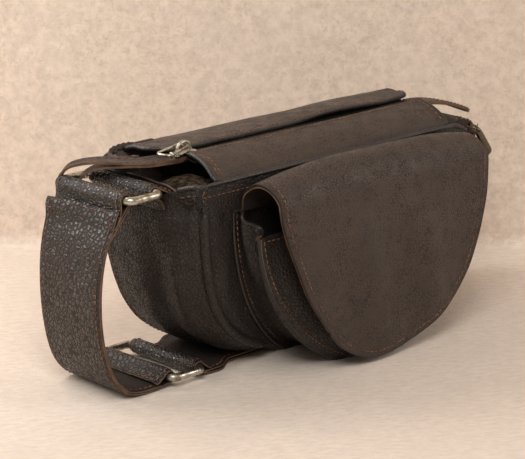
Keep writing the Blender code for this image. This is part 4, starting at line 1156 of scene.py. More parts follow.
def build_left_strap():
    """The strap's left piece: outer and inner layer, and the tube that they make round the upper bar."""
    middle = Guide(left_loop_line())
    first, last = 0.008 / middle.length, 1 - 0.0066 / middle.length
    share = np.linspace(first, last, 150)
    rise = 0.0043 * smooth(1 - (last - share) * middle.length / 0.015)
    face = beside_line(middle, share, (LAYER + rise)[:, None])
    bar = LOW_LEFT_BAR
    hook = [bar + np.array(place) for place in ((-0.0107, -0.0012), (-0.0085, -0.0006), (-0.0055, 0.0017))]
    under = [bar + np.array(place) for place in ((-0.0040, -0.0054), (-0.0080, -0.0063), (-0.0115, -0.0066))]
    line = np.vstack([hook, arc(bar, TUBE_OUTER, radians(125), radians(-97), 44), under, face])
    begin = 1 - Guide(face).length / Guide(line).length
    outer = band_surface(line, -STRAP_HALF, STRAP_HALF, uneven(STRAP_WIDTH, 0.026, 0.0006, 31),
                         strap_lean(begin, 1.0))
    lay_band("strap_left_outer", outer, strap_leather(), "strap_left", 330, 56, "strap_left")

    inner_line = beside_line(middle, np.linspace(0.999, 0.001, 140), -LAYER)
    inner = band_surface(inner_line, -STRAP_HALF + 0.0002, STRAP_HALF - 0.0002,
                         uneven(STRAP_WIDTH, 0.026, -0.0006, 31), strap_lean(1.0, 0.0))
    lay_band("strap_left_inner", inner, flesh_side(), "strap_left", 200, 40)

    turn = np.array([-sin(LEFT_LEAVE), cos(LEFT_LEAVE)])
    start = LEFT_BAR + TUBE_LINE * np.array([cos(LEFT_LEAVE), sin(LEFT_LEAVE)])
    rising = beside(start, turn, [(-0.018, 0.0018), (-0.014, 0.0023), (-0.010, 0.0032), (-0.0074, 0.0044)])
    falling = beside(start, turn, [(-0.004, -0.0001), (-0.010, -0.0001), (-0.018, -0.0001)])
    tube_line = np.vstack([rising, arc(LEFT_BAR, TUBE_OUTER, radians(200), LEFT_LEAVE, 44), falling])
    tube = band_surface(tube_line, -STRAP_HALF + 0.0004, STRAP_HALF - 0.0004,
                        uneven(STRAP_WIDTH, 0.012, 0.0004, 33))
    lay_band("strap_left_tube", tube, glossy_leather(), "strap_left", 110, 64)

    rows = strip_rows(outer, STRAP_WIDTH, start=0.01, end=0.985)
    rows += [seam_on(outer, np.full(12, u), np.linspace(0.07, 0.93, 12)) for u in (0.009, 0.9885)]
    rows += strip_rows(inner, STRAP_WIDTH, start=0.03, end=0.97)
    rows += strip_rows(tube, STRAP_WIDTH, inset=0.0036, start=0.05, end=0.95)
    sew("strap_left_stitches", rows, "strap_left")


def build_rings():
    """Three rectangular rings of round wire, each between its two bars."""
    rings = {"ring_left": (LEFT_BAG_BAR, LEFT_BAR, nickel()),
             "ring_lower": (LOW_LEFT_BAR, LOW_RIGHT_BAR, nickel()),
             "ring_right": (RIGHT_BAG_BAR, RIGHT_BAR, dull_nickel())}
    for node, (start, end, look) in rings.items():
        low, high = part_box(node)
        half_y = (high.y - low.y) / 2 - RING_WIRE
        middle = (start + end) / 2
        run = end - start
        reach = np.linalg.norm(run) / 2
        run = run / np.linalg.norm(run)
        flat = []
        for quarter in range(4):
            centre = ((reach - RING_CORNER) * (1 if quarter in (0, 3) else -1),
                      (half_y - RING_CORNER) * (1 if quarter < 2 else -1))
            flat += list(arc(centre, RING_CORNER, pi / 2 * quarter, pi / 2 * (quarter + 1), 10))
        route = [(middle[0] + run[0] * a, b, middle[1] + run[1] * a) for a, b in flat]
        settle(round_strip(node + "_wire", route, RING_WIRE, look, closed=True, sides=8), node, node,
               slot="nickel")


def bag_loop_line(bar):
    """Face of the strip at the right end: up inside the bag, over the gusset's edge and round the bar."""
    clear = 0.0003
    low = GUSSET_TOP - 0.021
    depth = 1 - low / BODY_TOP
    low_half = HALF_LENGTH * (1 - depth ** BODY_POWER) ** (1 / BODY_POWER)
    edge = np.array([HALF_LENGTH - PANEL_THICK / 2, GUSSET_TOP])
    over = PANEL_THICK / 2 + clear + LAYER
    reach = bar - edge
    meet = atan2(reach[1], reach[0]) + acos((over - TUBE_OUTER) / np.linalg.norm(reach))
    leg = [(HALF_LENGTH + 0.0048, bar[1] - 0.0066), (HALF_LENGTH + 0.0028, bar[1] - 0.0090),
           (HALF_LENGTH + 0.0022, bar[1] - 0.0125)]
    return np.vstack([[(low_half - PANEL_THICK - clear - LAYER, low)], arc(edge, over, pi, meet, 12),
                      arc(bar, TUBE_OUTER, meet, -pi / 2, 44), spline(leg, 4)])


def build_bag_loops():
    """The strips at the top of the gusset that fold round the rings' inner bars."""
    for (side, word), bar, ahead in zip(ENDS, (LEFT_BAG_BAR, RIGHT_BAG_BAR), (0.0, 0.0060)):
        low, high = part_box("bag_loop_" + word)
        line = bag_loop_line(bar * (side, 1)) * (side, 1)
        if side < 0:
            line = line[::-1]
        width = high.y - low.y
        full = uneven(width, 0.012, 0.0004, 36 + side)

        def soft(share, v, full=full):
            return full(share, v) - 0.0004 * bell(v, 0.05)

        surface = band_surface(line, low.y - ahead, high.y, soft)
        lay_band("loop_leather_" + word, surface, glossy_leather(), "bag", 150, 60, "bag_loop_" + word)
        rows = strip_rows(surface, width, inset=0.0034, start=0.05, end=0.75)
        sew("loop_stitches_" + word, rows, "bag")


def build_bindings():
    """A folded strip along each end of the opening, sewn to the gusset inside the ring's loop."""
    for side, word in ENDS:

        def surface(u, v, side=side):
            y = -0.0455 + 0.0835 * (1 - u if side < 0 else u)
            top = GUSSET_TOP + 0.0050 - 0.0052 * smooth((-y - 0.020) / 0.020)
            z = top - 0.012 * (1 - v)
            x = 0.1268 - 0.0016 * smooth((-y - 0.030) / 0.014) - 0.0008 * (1 - v)
            at = np.stack([0 * y, y, z], -1)
            x = x + value_noise(at, 0.016, 37) * 0.0008
            z = z + value_noise(at * (1, 1, 0), 0.020, 38) * 0.0009 * v
            return np.stack([x * side, y, z], -1)

        piece = lay_grid("binding_" + word, surface, 110, 14)
        thicken(piece, 0.0014, [edge_leather(), lining_cloth(), cut_edge()], round_edge=0.0004)
        settle(piece, "bag")
        row = seam_on(surface, np.linspace(0.03, 0.97, 40), np.full(40, 0.80), 200)
        sew("binding_stitches_" + word, [row], "bag")


def build_under_strap():
    """The strap's middle piece: flat on the floor, folded up round the lower ring's far bar."""
    bar = LOW_RIGHT_BAR

    def side(edge):
        return lambda at: edge + STRAP_SHIFT * smooth((at[..., 0] - bar[0] - STRAP_TAIL) / STRAP_TAIL)

    floor = [(x, 0.0) for x in np.linspace(STRAP_SPLIT_X, bar[0] + 0.013, 60)]
    under = [bar + np.array(place) for place in ((0.0080, -0.0063), (0.0040, -0.0054))]
    leg = [bar + np.array(place) for place in ((0.0055, 0.0017), (0.0085, -0.0006), (0.0107, -0.0012))]
    line = np.vstack([floor, under, arc(bar, TUBE_OUTER, radians(277), radians(55), 44), leg])
    outer = band_surface(line, side(-STRAP_HALF), side(STRAP_HALF), uneven(STRAP_WIDTH, 0.012, 0.0003, 41))
    lay_band("strap_under_outer", outer, glossy_leather(), "strap_under", 230, 50, "strap_under")
    top = [(x, STRAP_THICK) for x in np.linspace(bar[0] + 0.004, STRAP_SPLIT_X, 60)]
    inner = band_surface(top, side(-STRAP_HALF + 0.0002), side(STRAP_HALF - 0.0002))
    lay_band("strap_under_inner", inner, flesh_side(), "strap_under", 120, 30)
    rows = strip_rows(outer, STRAP_WIDTH, inset=0.0034, start=0.02, end=0.97)
    rows += strip_rows(inner, STRAP_WIDTH, start=0.05, end=0.99)
    sew("strap_under_stitches", rows, "strap_under")


def build_right_strap():
    """The strap's right piece: from the floor up to the right ring and round its bar."""
    floor = STRAP_THICK / 2
    start_x = STRAP_SPLIT_X + 0.0006
    span = RIGHT_BAR[0] - start_x
    shares = ((0.24, 0.0), (0.47, 0.085), (0.65, 0.27), (0.80, 0.50), (0.91, 0.71))
    turn = np.array([sin(RIGHT_LEAVE), -cos(RIGHT_LEAVE)])
    start = RIGHT_BAR + TUBE_LINE * np.array([cos(RIGHT_LEAVE), sin(RIGHT_LEAVE)])
    knots = [(start_x, floor)]
    knots += [(start_x + span * across, floor + RIGHT_BAR[1] * up) for across, up in shares]
    knots += [tuple(start - turn * 0.008), tuple(start)]
    line = spline(knots)
    line[:, 1] = np.maximum(line[:, 1], floor)
    middle = Guide(line)

    def side(edge):
        def place(at):
            share = (at[..., 0] - RIGHT_BAR[0]) / (STRAP_SPLIT_X + STRAP_TAIL - RIGHT_BAR[0])
            return edge + STRAP_SHIFT * smooth(share)
        return place

    share = np.linspace(0.0, 0.999, 130)
    near_bar = smooth((1 - share) * middle.length / 0.014)
    leg = beside(start, turn, [(-0.0052, -0.0070), (-0.0080, -0.0052),
                               (-0.0120, -0.0040), (-0.0170, -0.0037)])
    rise = np.vstack([beside_line(middle, share, (LAYER * near_bar)[:, None]),
                      arc(RIGHT_BAR, TUBE_OUTER, RIGHT_LEAVE, radians(-50), 40), leg])
    inner = band_surface(rise, side(-STRAP_HALF), side(STRAP_HALF), uneven(STRAP_WIDTH, 0.020, 0.0004, 43))
    lay_band("strap_right_inner", inner, glossy_leather(), "strap_right", 260, 46, "strap_right")
    fall = beside_line(middle, share[::-1] * 0.985, -(LAYER + 0.0001))
    outer = band_surface(fall, side(-STRAP_HALF), side(STRAP_HALF), uneven(STRAP_WIDTH, 0.026, 0.0004, 44))
    lay_band("strap_right_outer", outer, strap_leather(), "strap_right", 220, 46)
    rows = strip_rows(inner, STRAP_WIDTH, start=0.02, end=0.985)
    rows += strip_rows(outer, STRAP_WIDTH, start=0.06, end=0.99)
    sew("strap_right_stitches", rows, "strap_right")


def build_tabs():
    """Leather tabs at the zip's ends: a doubled strip at the left, a single one at the right."""
    build_left_tab()
    build_right_tab()


# The left tab's layers: how each falls beyond the pivot (way out, height), its lift, and the nodes
# that it stands for
TAB_LAYERS = {
    "tab_left_upper": ([(0.010, 0.0), (0.024, 0.0004), (0.036, -0.0006), (0.0455, -0.0036), (0.0505, -0.0090),
                        (0.0510, -0.0150)], 0.0, ["zip_tab_loop_left", "zip_tab_root_left"]),
    "tab_left_lower": ([(0.010, -0.0002), (0.022, -0.0010), (0.031, -0.0030), (0.0385, -0.0080),
                        (0.0410, -0.0140)], -0.0015, []),
}


def build_left_tab():
    """Two layers that part beyond the bag and fall to the left ring."""
    joint = JOINTS["tab_left_lift"]
    pivot = np.array(joint["pos_m"])
    onward = np.cross(np.array(joint["axis"]), (0, 0, 1.0))
    if onward[0] > 0:
        onward = -onward
    for name, (fall, lift, nodes) in TAB_LAYERS.items():
        level = pivot[2] - 0.0034 + lift
        knots = [(-0.1045, -0.0085, level + 0.0004), (-0.1120, -0.0088, level), (-0.1200, -0.0072, level),
                 (pivot[0], pivot[1], level)]
        knots += [(pivot[0] + onward[0] * a, pivot[1] + onward[1] * a, level + b) for a, b in fall]
        guide = Guide(spline(knots))

        def surface(u, v, guide=guide):
            v = 1 - v
            at = guide.point(u)
            run = guide.run(u)
            flat = np.stack([run[..., 1], -run[..., 0], np.zeros_like(run[..., 0])], -1)
            flat = flat / np.maximum(np.linalg.norm(flat, axis=-1), 1e-9)[..., None]
            up = np.cross(run, flat)
            up = up * np.sign(up[..., 2:3] + 1e-9)
            half = 0.0078 - 0.0008 * smooth(u * 2.0 - 0.4)
            rise = value_noise(at * (1, 1, 0.3), 0.016, 51) * 0.0006 + 0.0007 * (2 * v - 1) ** 2
            return at + flat * (half * (2 * v - 1))[..., None] + up * rise[..., None]

        piece = lay_grid(name, surface, 120, 24)
        thicken(piece, 0.0013, [smooth_leather(), flesh_side(), cut_edge()], round_edge=0.0004)
        settle(piece, None, *nodes)
        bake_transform(piece)
        if nodes:
            rows = [seam_on(surface, np.linspace(0.02, 0.97, 40), np.full(40, v), 240) for v in (0.17, 0.83)]
            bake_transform(sew("tab_left_stitches", rows, None))


def build_right_tab():
    """One strip that rests on the right ring."""
    half = 0.0082
    layer = 0.0014
    pivot = np.array(JOINTS["tab_right_lift"]["pos_m"])
    guide = Guide(spline([pivot + (along, 0, height) for along, height in (
        (-0.014, -0.0034), (0, -0.0044), (0.016, -0.0078), (0.030, -0.0125), (0.0425, -0.0178))]))

    def surface(u, v):
        at = guide.point(u)
        width = half * (1 - 0.30 * smooth(u * 1.4 - 0.3) - 0.45 * smooth(u * 8 - 7))
        return np.stack([at[..., 0], at[..., 1] + width * (2 * v - 1), at[..., 2] + layer], -1)

    piece = lay_grid("tab_right", surface, 70, 16)
    thicken(piece, layer * 1.6, [smooth_leather(), flesh_side(), cut_edge()], round_edge=0.0004)
    settle(piece, None, "zip_tab_end_right", "zip_tab_root_right")
    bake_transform(piece)
    rows = [seam_on(surface, np.linspace(0.03, 0.97, 30), np.full(30, v)) for v in (0.2, 0.8)]
    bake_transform(sew("tab_right_stitches", rows, None))


# The pocket and its flap
POCKET_HALF = POCKET_HIGH.x
POCKET_BACK_TOP = POCKET_SIDE_HIGH.z
POCKET_FRONT_TOP = POCKET_HIGH.z
POCKET_POWER = 1.75
POCKET_UNDERCUT = 0.003
POCKET_FACE_Y = -0.067
POCKET_FULLNESS = 0.009
POCKET_SEAM_INSET = 0.0038
MAGNET_Z = 0.050
POCKET_DROP = POCKET_FRONT_TOP + POCKET_UNDERCUT
POCKET_LAST = np.arcsin((POCKET_FRONT_TOP / POCKET_DROP) ** (POCKET_POWER / 2))
POCKET_FLOOR = 0.0012
POCKET_BACK_LINE, POCKET_FRONT_LINE = (
    half_moon(POCKET_HALF, top, top + POCKET_UNDERCUT, POCKET_POWER, POCKET_FLOOR)
    for top in (POCKET_BACK_TOP, POCKET_FRONT_TOP))


def pocket_side_surface(u, v):
    """Flange on the bag, then the side out to the front; its mouth folds in an S."""
    back, front = POCKET_BACK_LINE.point(u), POCKET_FRONT_LINE.point(u)
    back_out, front_out = outward(POCKET_BACK_LINE.run(u)), outward(POCKET_FRONT_LINE.run(u))
    share = np.clip((v - 0.16) / 0.84, 0, 1)
    at = back + (front - back) * share[..., None]
    out = back_out + (front_out - back_out) * share[..., None]
    out = out / np.linalg.norm(out, axis=-1)[..., None]
    flange = np.clip((0.16 - v) / 0.16, 0, 1)
    mouth = smooth(1 - np.abs(u - np.rint(u)) / 0.22)
    wave = (np.sin(share * 2.1 * pi) * 0.0042 - 0.0012) * mouth
    wave = wave - 0.0020 * np.sin(pi * share) * (1 - mouth)
    rounding = 0.0016 * bell(share - 1, 0.10)
    lift = wave + rounding * 0.4 + 0.0058 * flange
    place = at + out * lift[..., None]
    face = POCKET_FACE_Y + 0.0006
    panel = front_y(np.maximum(place[..., 1], 0)) - 0.0012
    root = panel - 0.0014 * smooth(share * 12)
    y = root + (face - root) * share
    points = np.stack([place[..., 0], y, np.maximum(place[..., 1], 0.0013)], -1)
    soft = crumple(points, 0.013, 61) * 0.0007 * np.sin(pi * share)
    points[..., 0] += soft * np.sign(points[..., 0])
    return points


def pocket_face_surface(u, v):
    """Pocket front: v from the foot to the mouth, and a rolled rim."""
    turn = POCKET_LAST * (1 - v)
    half = POCKET_HALF * np.cos(turn) ** (2 / POCKET_POWER) + 0.0008
    z = POCKET_FRONT_TOP - POCKET_DROP * np.sin(turn) ** (2 / POCKET_POWER)
    x = half * (2 * u - 1)
    low = np.minimum(z / MAGNET_Z, 1)
    high = np.maximum(z - MAGNET_Z, 0) / (POCKET_FRONT_TOP - MAGNET_Z)
    swell = (1 - (1 - low) ** 4) * (1 - high ** 4 / 2) * (1 - (2 * u - 1) ** 2)
    points = np.stack([x, POCKET_FACE_Y - POCKET_FULLNESS * swell, np.maximum(z, 0.0006)], -1)
    rim = half - np.abs(x)
    wide = crumple(points, 0.026, 63) * 0.0006
    points[..., 1] += wide * smooth(rim / 0.01)
    points[..., 1] += 0.0016 * bell(rim, 0.0022) - 0.0006 * bell(rim - 0.004, 0.003)
    return points


def build_pocket():
    """The pocket's side and front with their seams, rolled edges and bar tacks."""
    looks = [pebbled_leather(), lining_cloth(), edge_leather()]
    piece = lay_grid("pocket_side_leather", pocket_side_surface, 220, 70)
    thicken(piece, 0.0016, looks)
    settle(piece, "bag", "pocket_gusset")
    piece = lay_grid("pocket_face_leather", pocket_face_surface, 150, 90)
    thicken(piece, 0.0022, looks, round_edge=0.0008)
    settle(piece, "bag", "pocket_front")
    row = seam_on(pocket_side_surface, np.linspace(0.004, 0.996, 80), np.full(80, 0.075), 400)
    sew("pocket_flange_stitches", [row], "bag")
    v = np.linspace(0.985, 0.10, 60)
    half = POCKET_HALF * np.cos(POCKET_LAST * (1 - v)) ** (2 / POCKET_POWER)
    share = np.clip(POCKET_SEAM_INSET / (half * 2), 0, 0.4) * (1 + 1.2 * (1 - v) ** 2)
    rows = [seam_on(pocket_face_surface, u, v, 200) for u in (share, 1 - share)]
    rows.append(seam_on(pocket_face_surface, np.linspace(0.03, 0.97, 20), np.full(20, 0.975)))
    sew("pocket_face_stitches", rows, "bag")
    u = np.linspace(0.0, 1.0, 260)
    edge_roll("pocket_seam_ridge", pocket_side_surface, u, np.full(260, 0.955),
              lambda route, face: route + face * 0.0006, 0.0017, pebbled_leather(), ends=0.6)
    edge_roll("pocket_flange_roll", pocket_side_surface, u, np.full(260, 0.0),
              lambda route, face: route, 0.0012, ends=0.6)
    for side, word in ENDS:
        us, vs = np.full(60, max(side, 0.0)), np.linspace(0.0, 1.0, 60)
        edge_roll("pocket_mouth_roll_" + word, pocket_side_surface, us, vs,
                  lambda route, face: route - face * 0.0008, 0.0013, ends=0.7)
        corner = frame_on(pocket_side_surface, us, vs)[0][-1]
        upright_bars("pocket_bartack_" + word, [corner + (-0.0004 * (k - 4) * side, -0.0004, 0.0012)
                                                for k in range(9)], 0.0022, sway=0.5)
    edge_roll("pocket_lip_roll", pocket_face_surface, np.linspace(0, 1, 120), np.full(120, 1.0),
              lambda route, face: route - face * 0.0010, 0.0015)


FLAP_HALF = FLAP_HIGH.x
ARCH_Z = 0.110
ARCH_BACK_Y = FRONT_TOP_Y - 0.0003
ARCH_FRONT_Y = FLAP_LOW.y + 0.0003
FLAP_SEAM_Z = STRIP_LOW.z
FLAP_CORNERS = ((0.062, 0.0265), (-0.0500, 0.0272))
FLAP_END_Z = 0.0016
FLAP_SHEET_WIDTH = 0.2


def flap_profile():
    """The flap's middle line in Y-Z: up from its seam, over the arch and down to the tip."""
    depth = (ARCH_BACK_Y - ARCH_FRONT_Y) / 2
    centre = (ARCH_BACK_Y + ARCH_FRONT_Y) / 2
    turn = np.linspace(0, pi, 60)
    rise = (FLAP_HIGH.z - ARCH_Z) * np.sin(turn) ** 0.92
    over = np.stack([centre + depth * np.cos(turn), ARCH_Z + rise], 1)
    foot = np.array([(ARCH_BACK_Y, FLAP_SEAM_Z)])
    fall_z = np.linspace(ARCH_Z, FLAP_END_Z, 90)[1:]
    fall = np.stack([np.full(89, ARCH_FRONT_Y), fall_z], 1)
    return Guide(np.vstack([foot, over, fall]))


FLAP_LINE = flap_profile()
FLAP_FALL = FLAP_LINE.length - (ARCH_Z - FLAP_END_Z)


def flap_outline():
    """The flap laid flat: from the top right round the tip to the top left, with the corners' shares."""
    right = [(FLAP_HALF, 0.108), (0.0910, 0.0890), (0.0870, 0.0720), (0.0818, 0.0570), (0.0752, 0.0422),
             (0.0672, 0.0315), (0.0570, 0.0228), (0.0450, 0.0155), (0.0300, 0.0094), (0.0146, 0.0055),
             (0.0, 0.0036)]
    left = [(-0.0140, 0.0040), (-0.0280, 0.0087), (-0.0398, 0.0164), (-0.0510, 0.0283), (-0.0602, 0.0402),
            (-0.0690, 0.0540), (-0.0775, 0.0720), (-0.0853, 0.0900), (-0.0902, 0.1030), (-FLAP_HALF, 0.112)]
    low = spline([*right, *left], 14)
    flat = np.stack([low[:, 0], FLAP_FALL + ARCH_Z - low[:, 1]], 1)
    whole = Guide(np.vstack([[FLAP_HALF, 0.0], flat, [-FLAP_HALF, 0.0]]))
    shares = [whole.at[np.argmin(np.hypot(*(whole.points - (x, FLAP_FALL + ARCH_Z - z)).T))]
              for x, z in FLAP_CORNERS]
    return whole, shares


FLAP_EDGE, FLAP_SHARES = flap_outline()


def flap_rim(share, inset=0.0):
    """A place on the flat outline, moved inwards by the inset."""
    run = FLAP_EDGE.run(share)
    return FLAP_EDGE.point(share) + np.stack([run[..., 1], -run[..., 0]], -1) * -inset


def flap_sheet(u, v):
    """The flap's face over a flat sheet: u from +X to -X, v from the seam to below the tip."""
    return flap_at((0.5 - u) * FLAP_SHEET_WIDTH, v * FLAP_LINE.length)


def flap_at(x, down):
    """A place on the flap's face: x across it, and how far down it from its seam."""
    share = np.clip(down / FLAP_LINE.length, 0, 1)
    at = FLAP_LINE.point(share)
    run = FLAP_LINE.run(share)
    z = at[..., 1]
    out_y, out_z = run[..., 1], -run[..., 0]
    over = smooth((z - ARCH_Z) / (FLAP_HIGH.z - ARCH_Z))
    droop = -0.0060 * (np.abs(x) / FLAP_HALF) ** 3 * over
    front = smooth((ARCH_Z + 0.004 - z) / 0.02) * (out_y < -0.5)
    points = np.stack([x, at[..., 0], z + droop], -1)
    folds = np.sin((x + 0.025 + (z - 0.05) * 0.10) * 118.5) * 0.0031 * bell(x - 0.005, 0.055)
    folds = folds * smooth((0.100 - z) / 0.04) * smooth(z / 0.03)
    height = np.clip(z / ARCH_Z, 0, 1)
    across = np.clip(np.abs(x) / (0.020 + 0.071 * np.sqrt(height)), 0, 1)
    fill = 0.0026 * np.sin(pi * height) * np.cos(across * pi / 2)
    wide = crumple(points, 0.030, 71) * 0.0008
    push = (folds + wide + fill) * front + crumple(points, 0.02, 72) * 0.0006 * over
    points[..., 1] += out_y * push
    points[..., 2] += out_z * push * over
    return points


def flap_surface(u, v, inset=0.0):
    """The flap as a four-sided patch between its two sides, its seam and its rounded foot."""
    first, last = FLAP_SHARES
    foot = flap_rim(first + (last - first) * u, inset)
    sides = flap_rim(first * v, inset), flap_rim(1 - (1 - last) * v, inset)
    top = np.stack([(FLAP_HALF - inset) * (1 - 2 * u), 0 * u], -1)
    corner = [flap_rim(np.array(share), inset) for share in FLAP_SHARES]
    ends = [np.array((FLAP_HALF - inset, 0.0)), np.array((inset - FLAP_HALF, 0.0))]
    u, v = u[..., None], v[..., None]
    flat = (1 - v) * top + v * foot + (1 - u) * sides[0] + u * sides[1]
    flat -= (1 - v) * ((1 - u) * ends[0] + u * ends[1]) + v * ((1 - u) * corner[0] + u * corner[1])
    return flap_at(flat[..., 0], flat[..., 1])


def build_flap():
    """The flap with its lining, one row of stitches and its magnet."""
    piece = lay_grid("flap_leather", flap_surface, 170, 190, borders="LRT")
    thicken(piece, 0.0014, [flap_leather(), flesh_side(), edge_leather()], round_edge=0.0006)
    settle(piece, None, "pocket_flap", "flap_seam_strip")

    def inner(u, v):
        points, face = frame_on(lambda a, b: flap_surface(a, b, 0.0001), u, v)
        return points - face * 0.0016

    lining = lay_grid("flap_lining", inner, 100, 130)
    thicken(lining, 0.0009, [flesh_side(), flesh_side(), cut_edge()], round_edge=0.0002)
    settle(lining, None)
    line = flap_rim(np.linspace(0.075, 0.925, 700), 0.0040)
    row = frame_on(flap_sheet, 0.5 - line[:, 0] / FLAP_SHEET_WIDTH, line[:, 1] / FLAP_LINE.length)
    thread = sew("flap_stitches", [row], None)
    for item in (piece, lining, thread):
        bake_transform(item)
    for word, u in (("left", 0.988), ("right", 0.012)):
        corner = frame_on(flap_surface, np.array([u]), np.array([0.008]))[0][0]
        upright_bars("flap_bartack_" + word, [corner + ((k - 2.5) * 0.0006, -0.0004, 0.0) for k in range(6)],
                     0.0022)
    for node in ("flap_magnet", "pocket_magnet"):
        magnet = frame["nodes"][node]
        magnet.data.materials.clear()
        magnet.data.materials.append(nickel())


def hang_cloth(name, surface, columns, rows, node, look, inward=True):
    """A layer of cloth, sewn in where its node is."""
    piece = lay_grid(name, surface, columns, rows)
    thicken(piece, CLOTH_THICK, [look] * 3, inward=inward, round_edge=0)
    settle(piece, "bag", node, slot="lining")


def build_linings():
    """Cloth inside the bag, hung loosely from its seams, and suede at the opening's ends."""
    back_low, back_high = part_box("back_lining")
    front_low, front_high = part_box("front_lining")

    def back(u, v):
        turn = (1 - v) * pi / 2
        half = back_high.x * np.cos(turn) ** (2 / BODY_POWER)
        z = back_high.z - (back_high.z - back_low.z) * np.sin(turn) ** (2 / BODY_POWER)
        points = np.stack([-np.maximum(half, 0.03) * (2 * u - 1), np.full_like(u, back_low.y), z], -1)
        points[..., 1] -= np.abs(crumple(points, 0.018, 81)) * 0.002
        return points

    def front(u, v):
        z = front_low.z + (front_high.z - front_low.z) * v
        depth = np.clip((FRONT_TOP - z) / (FRONT_TOP - front_low.z), 0, 1)
        half = (front_high.x + 0.002) * (1 - depth ** FRONT_POWER + 0.02) ** (1 / FRONT_POWER)
        points = np.stack([half * (2 * u - 1), front_y(z) + 0.0042, z], -1)
        points[..., 1] += np.abs(crumple(points, 0.018, 82)) * 0.002
        return points

    def side(u, v):
        points, face = frame_on(gusset_surface, 0.018 + 0.964 * u, 0.04 + 0.84 * v)
        return points - face * (0.0036 + np.abs(crumple(points, 0.016, 83))[..., None] * 0.0012)

    hang_cloth("back_cloth", back, 90, 40, "back_lining", lining_cloth())
    hang_cloth("front_cloth", front, 90, 40, "front_lining", lining_cloth(), inward=False)
    hang_cloth("gusset_cloth", side, 150, 30, "gusset_lining", lining_cloth())
    for way, word in ENDS:
        build_end(way, word)


def build_end(way, word):
    """The suede facing by one front corner, and the cloth of that end beneath it."""
    low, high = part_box("end_lining_" + word)

    def facing(u, v):
        x = (0.1290 - 0.033 * u) * way
        y = -0.0460 + 0.050 * (v if way < 0 else 1 - v)
        rise = 0.0052 * smooth(u * 1.5) * smooth((y + 0.046) / 0.016)
        z = 0.1172 + rise - 0.0050 * smooth((y + 0.012) / 0.016)
        points = np.stack([x, y, z], -1)
        points[..., 2] += crumple(points, 0.008, 85) * 0.0014
        return points

    def end(u, v):
        near, far = (high.x, low.x) if way < 0 else (low.x, high.x)
        x = near + (far - near) * u
        y = low.y + (high.y - low.y) * (v if way > 0 else 1 - v)
        front, back = smooth((-y - 0.014) / 0.026), smooth((y - 0.008) / 0.020)
        z = high.z + 0.016 * front * (1 - 0.25 * np.sin(pi * u)) + 0.015 * back
        points = np.stack([x, y, z], -1)
        points[..., 2] += crumple(points, 0.010, 84) * (0.0012 + 0.0022 * back)
        return points

    piece = lay_grid("corner_facing_" + word, facing, 60, 70)
    thicken(piece, 0.0010, [suede(), flesh_side(), suede()], round_edge=0)
    settle(piece, "bag", slot="lining")
    # The end cloth wears the dark suede finish, partly painted shade under the tab.
    hang_cloth("end_cloth_" + word, end, 60, 80, "end_lining_" + word, suede())


# The stage
VIEW_YAW = radians(-44.2)
VIEW_PITCH = radians(16.2)
VIEW_DISTANCE = 1.4558
VIEW_TARGET = Vector((-0.0256, 0.0, 0.0708))
IMAGE_WIDTH = 525
FOCAL_PIXELS = 2310.3
SENSOR_WIDTH = 36.0
WALL_AT = 0.182
COVE = 0.010
# Name, place, what it is aimed at, size and watts of each lamp
LAMPS = (
    ("key", (-0.80, -0.70, 1.10), (0.0, 0.0, 0.06), 0.60, 10.0),
    ("window", (-0.50, 0.36, 0.34), (-0.16, 0.0, 0.10), 0.26, 1.3),
    ("back", (-0.22, 0.30, 0.50), (-0.10, 0.0, 0.11), 0.22, 0.9),
    ("fill", (0.9, -1.3, 0.8), (0.0, 0.0, 0.06), 0.8, 7.5),
)


def stage_material(name):
    """Pale stone: a mottled wall with brown flecks above a paler floor with short scratches."""
    recipe = Recipe(name, 0.85, specular=0.15)
    place = recipe.place()
    cloud = recipe.noise(place, 0.045, 5.0, 0.60)
    blot = recipe.noise(place, 0.0085, 4.0, 0.62)
    grit = recipe.noise(place, 0.0026, 4.0, 0.68)
    bend = recipe.add("ShaderNodeTexNoise", {"Vector": place, "Scale": 160.0, "Detail": 3.0}).outputs["Color"]
    shifted = recipe.add("ShaderNodeVectorMath", operation="MULTIPLY_ADD")
    recipe.feed(shifted.inputs[0], bend)
    shifted.inputs[1].default_value = (0.008,) * 3
    recipe.feed(shifted.inputs[2], place)
    crust = recipe.noise(shifted.outputs[0], 0.0040, 4.0, 0.75)
    fleck = recipe.math("MULTIPLY", recipe.span(crust, 0.46, 0.66), recipe.span(cloud, 0.32, 0.60, 0.35, 1.0))
    turn = recipe.add("ShaderNodeMapping", vector_type="TEXTURE")
    recipe.feed(turn.inputs["Vector"], place)
    turn.inputs["Rotation"].default_value = (0, 0, radians(-30.0))
    turn.inputs["Scale"].default_value = (2.6, 1.0, 1.0)
    streak = recipe.noise(turn.outputs["Vector"], 0.0032, 5.0, 0.72)
    separate = recipe.add("ShaderNodeSeparateXYZ", {"Vector": place})
    height = recipe.span(separate.outputs["Z"], 0.0005, 0.004)
    wall = recipe.blend(recipe.span(blot, 0.30, 0.70), tone("stage_wall", 0.90), tone("stage_wall", 1.06))
    wall = recipe.blend(recipe.math("MULTIPLY", fleck, 0.30), wall, tone("stage_fleck"))
    wall = recipe.blend(recipe.span(grit, 0.50, 0.80, 0.0, 0.30), wall, tone("stage_fleck", 1.15))
    floor = recipe.blend(recipe.span(streak, 0.30, 0.66), tone("stage", 0.88), tone("stage", 1.04))
    floor = recipe.blend(recipe.span(cloud, 0.40, 0.75, 0.0, 0.4), floor, tone("stage", 0.86))
    base = recipe.blend(height, floor, wall)
    rough = recipe.math("MULTIPLY_ADD", crust, 0.7, recipe.math("MULTIPLY", streak, 0.5))
    return recipe.finish(base, None, rough, 0.0007)


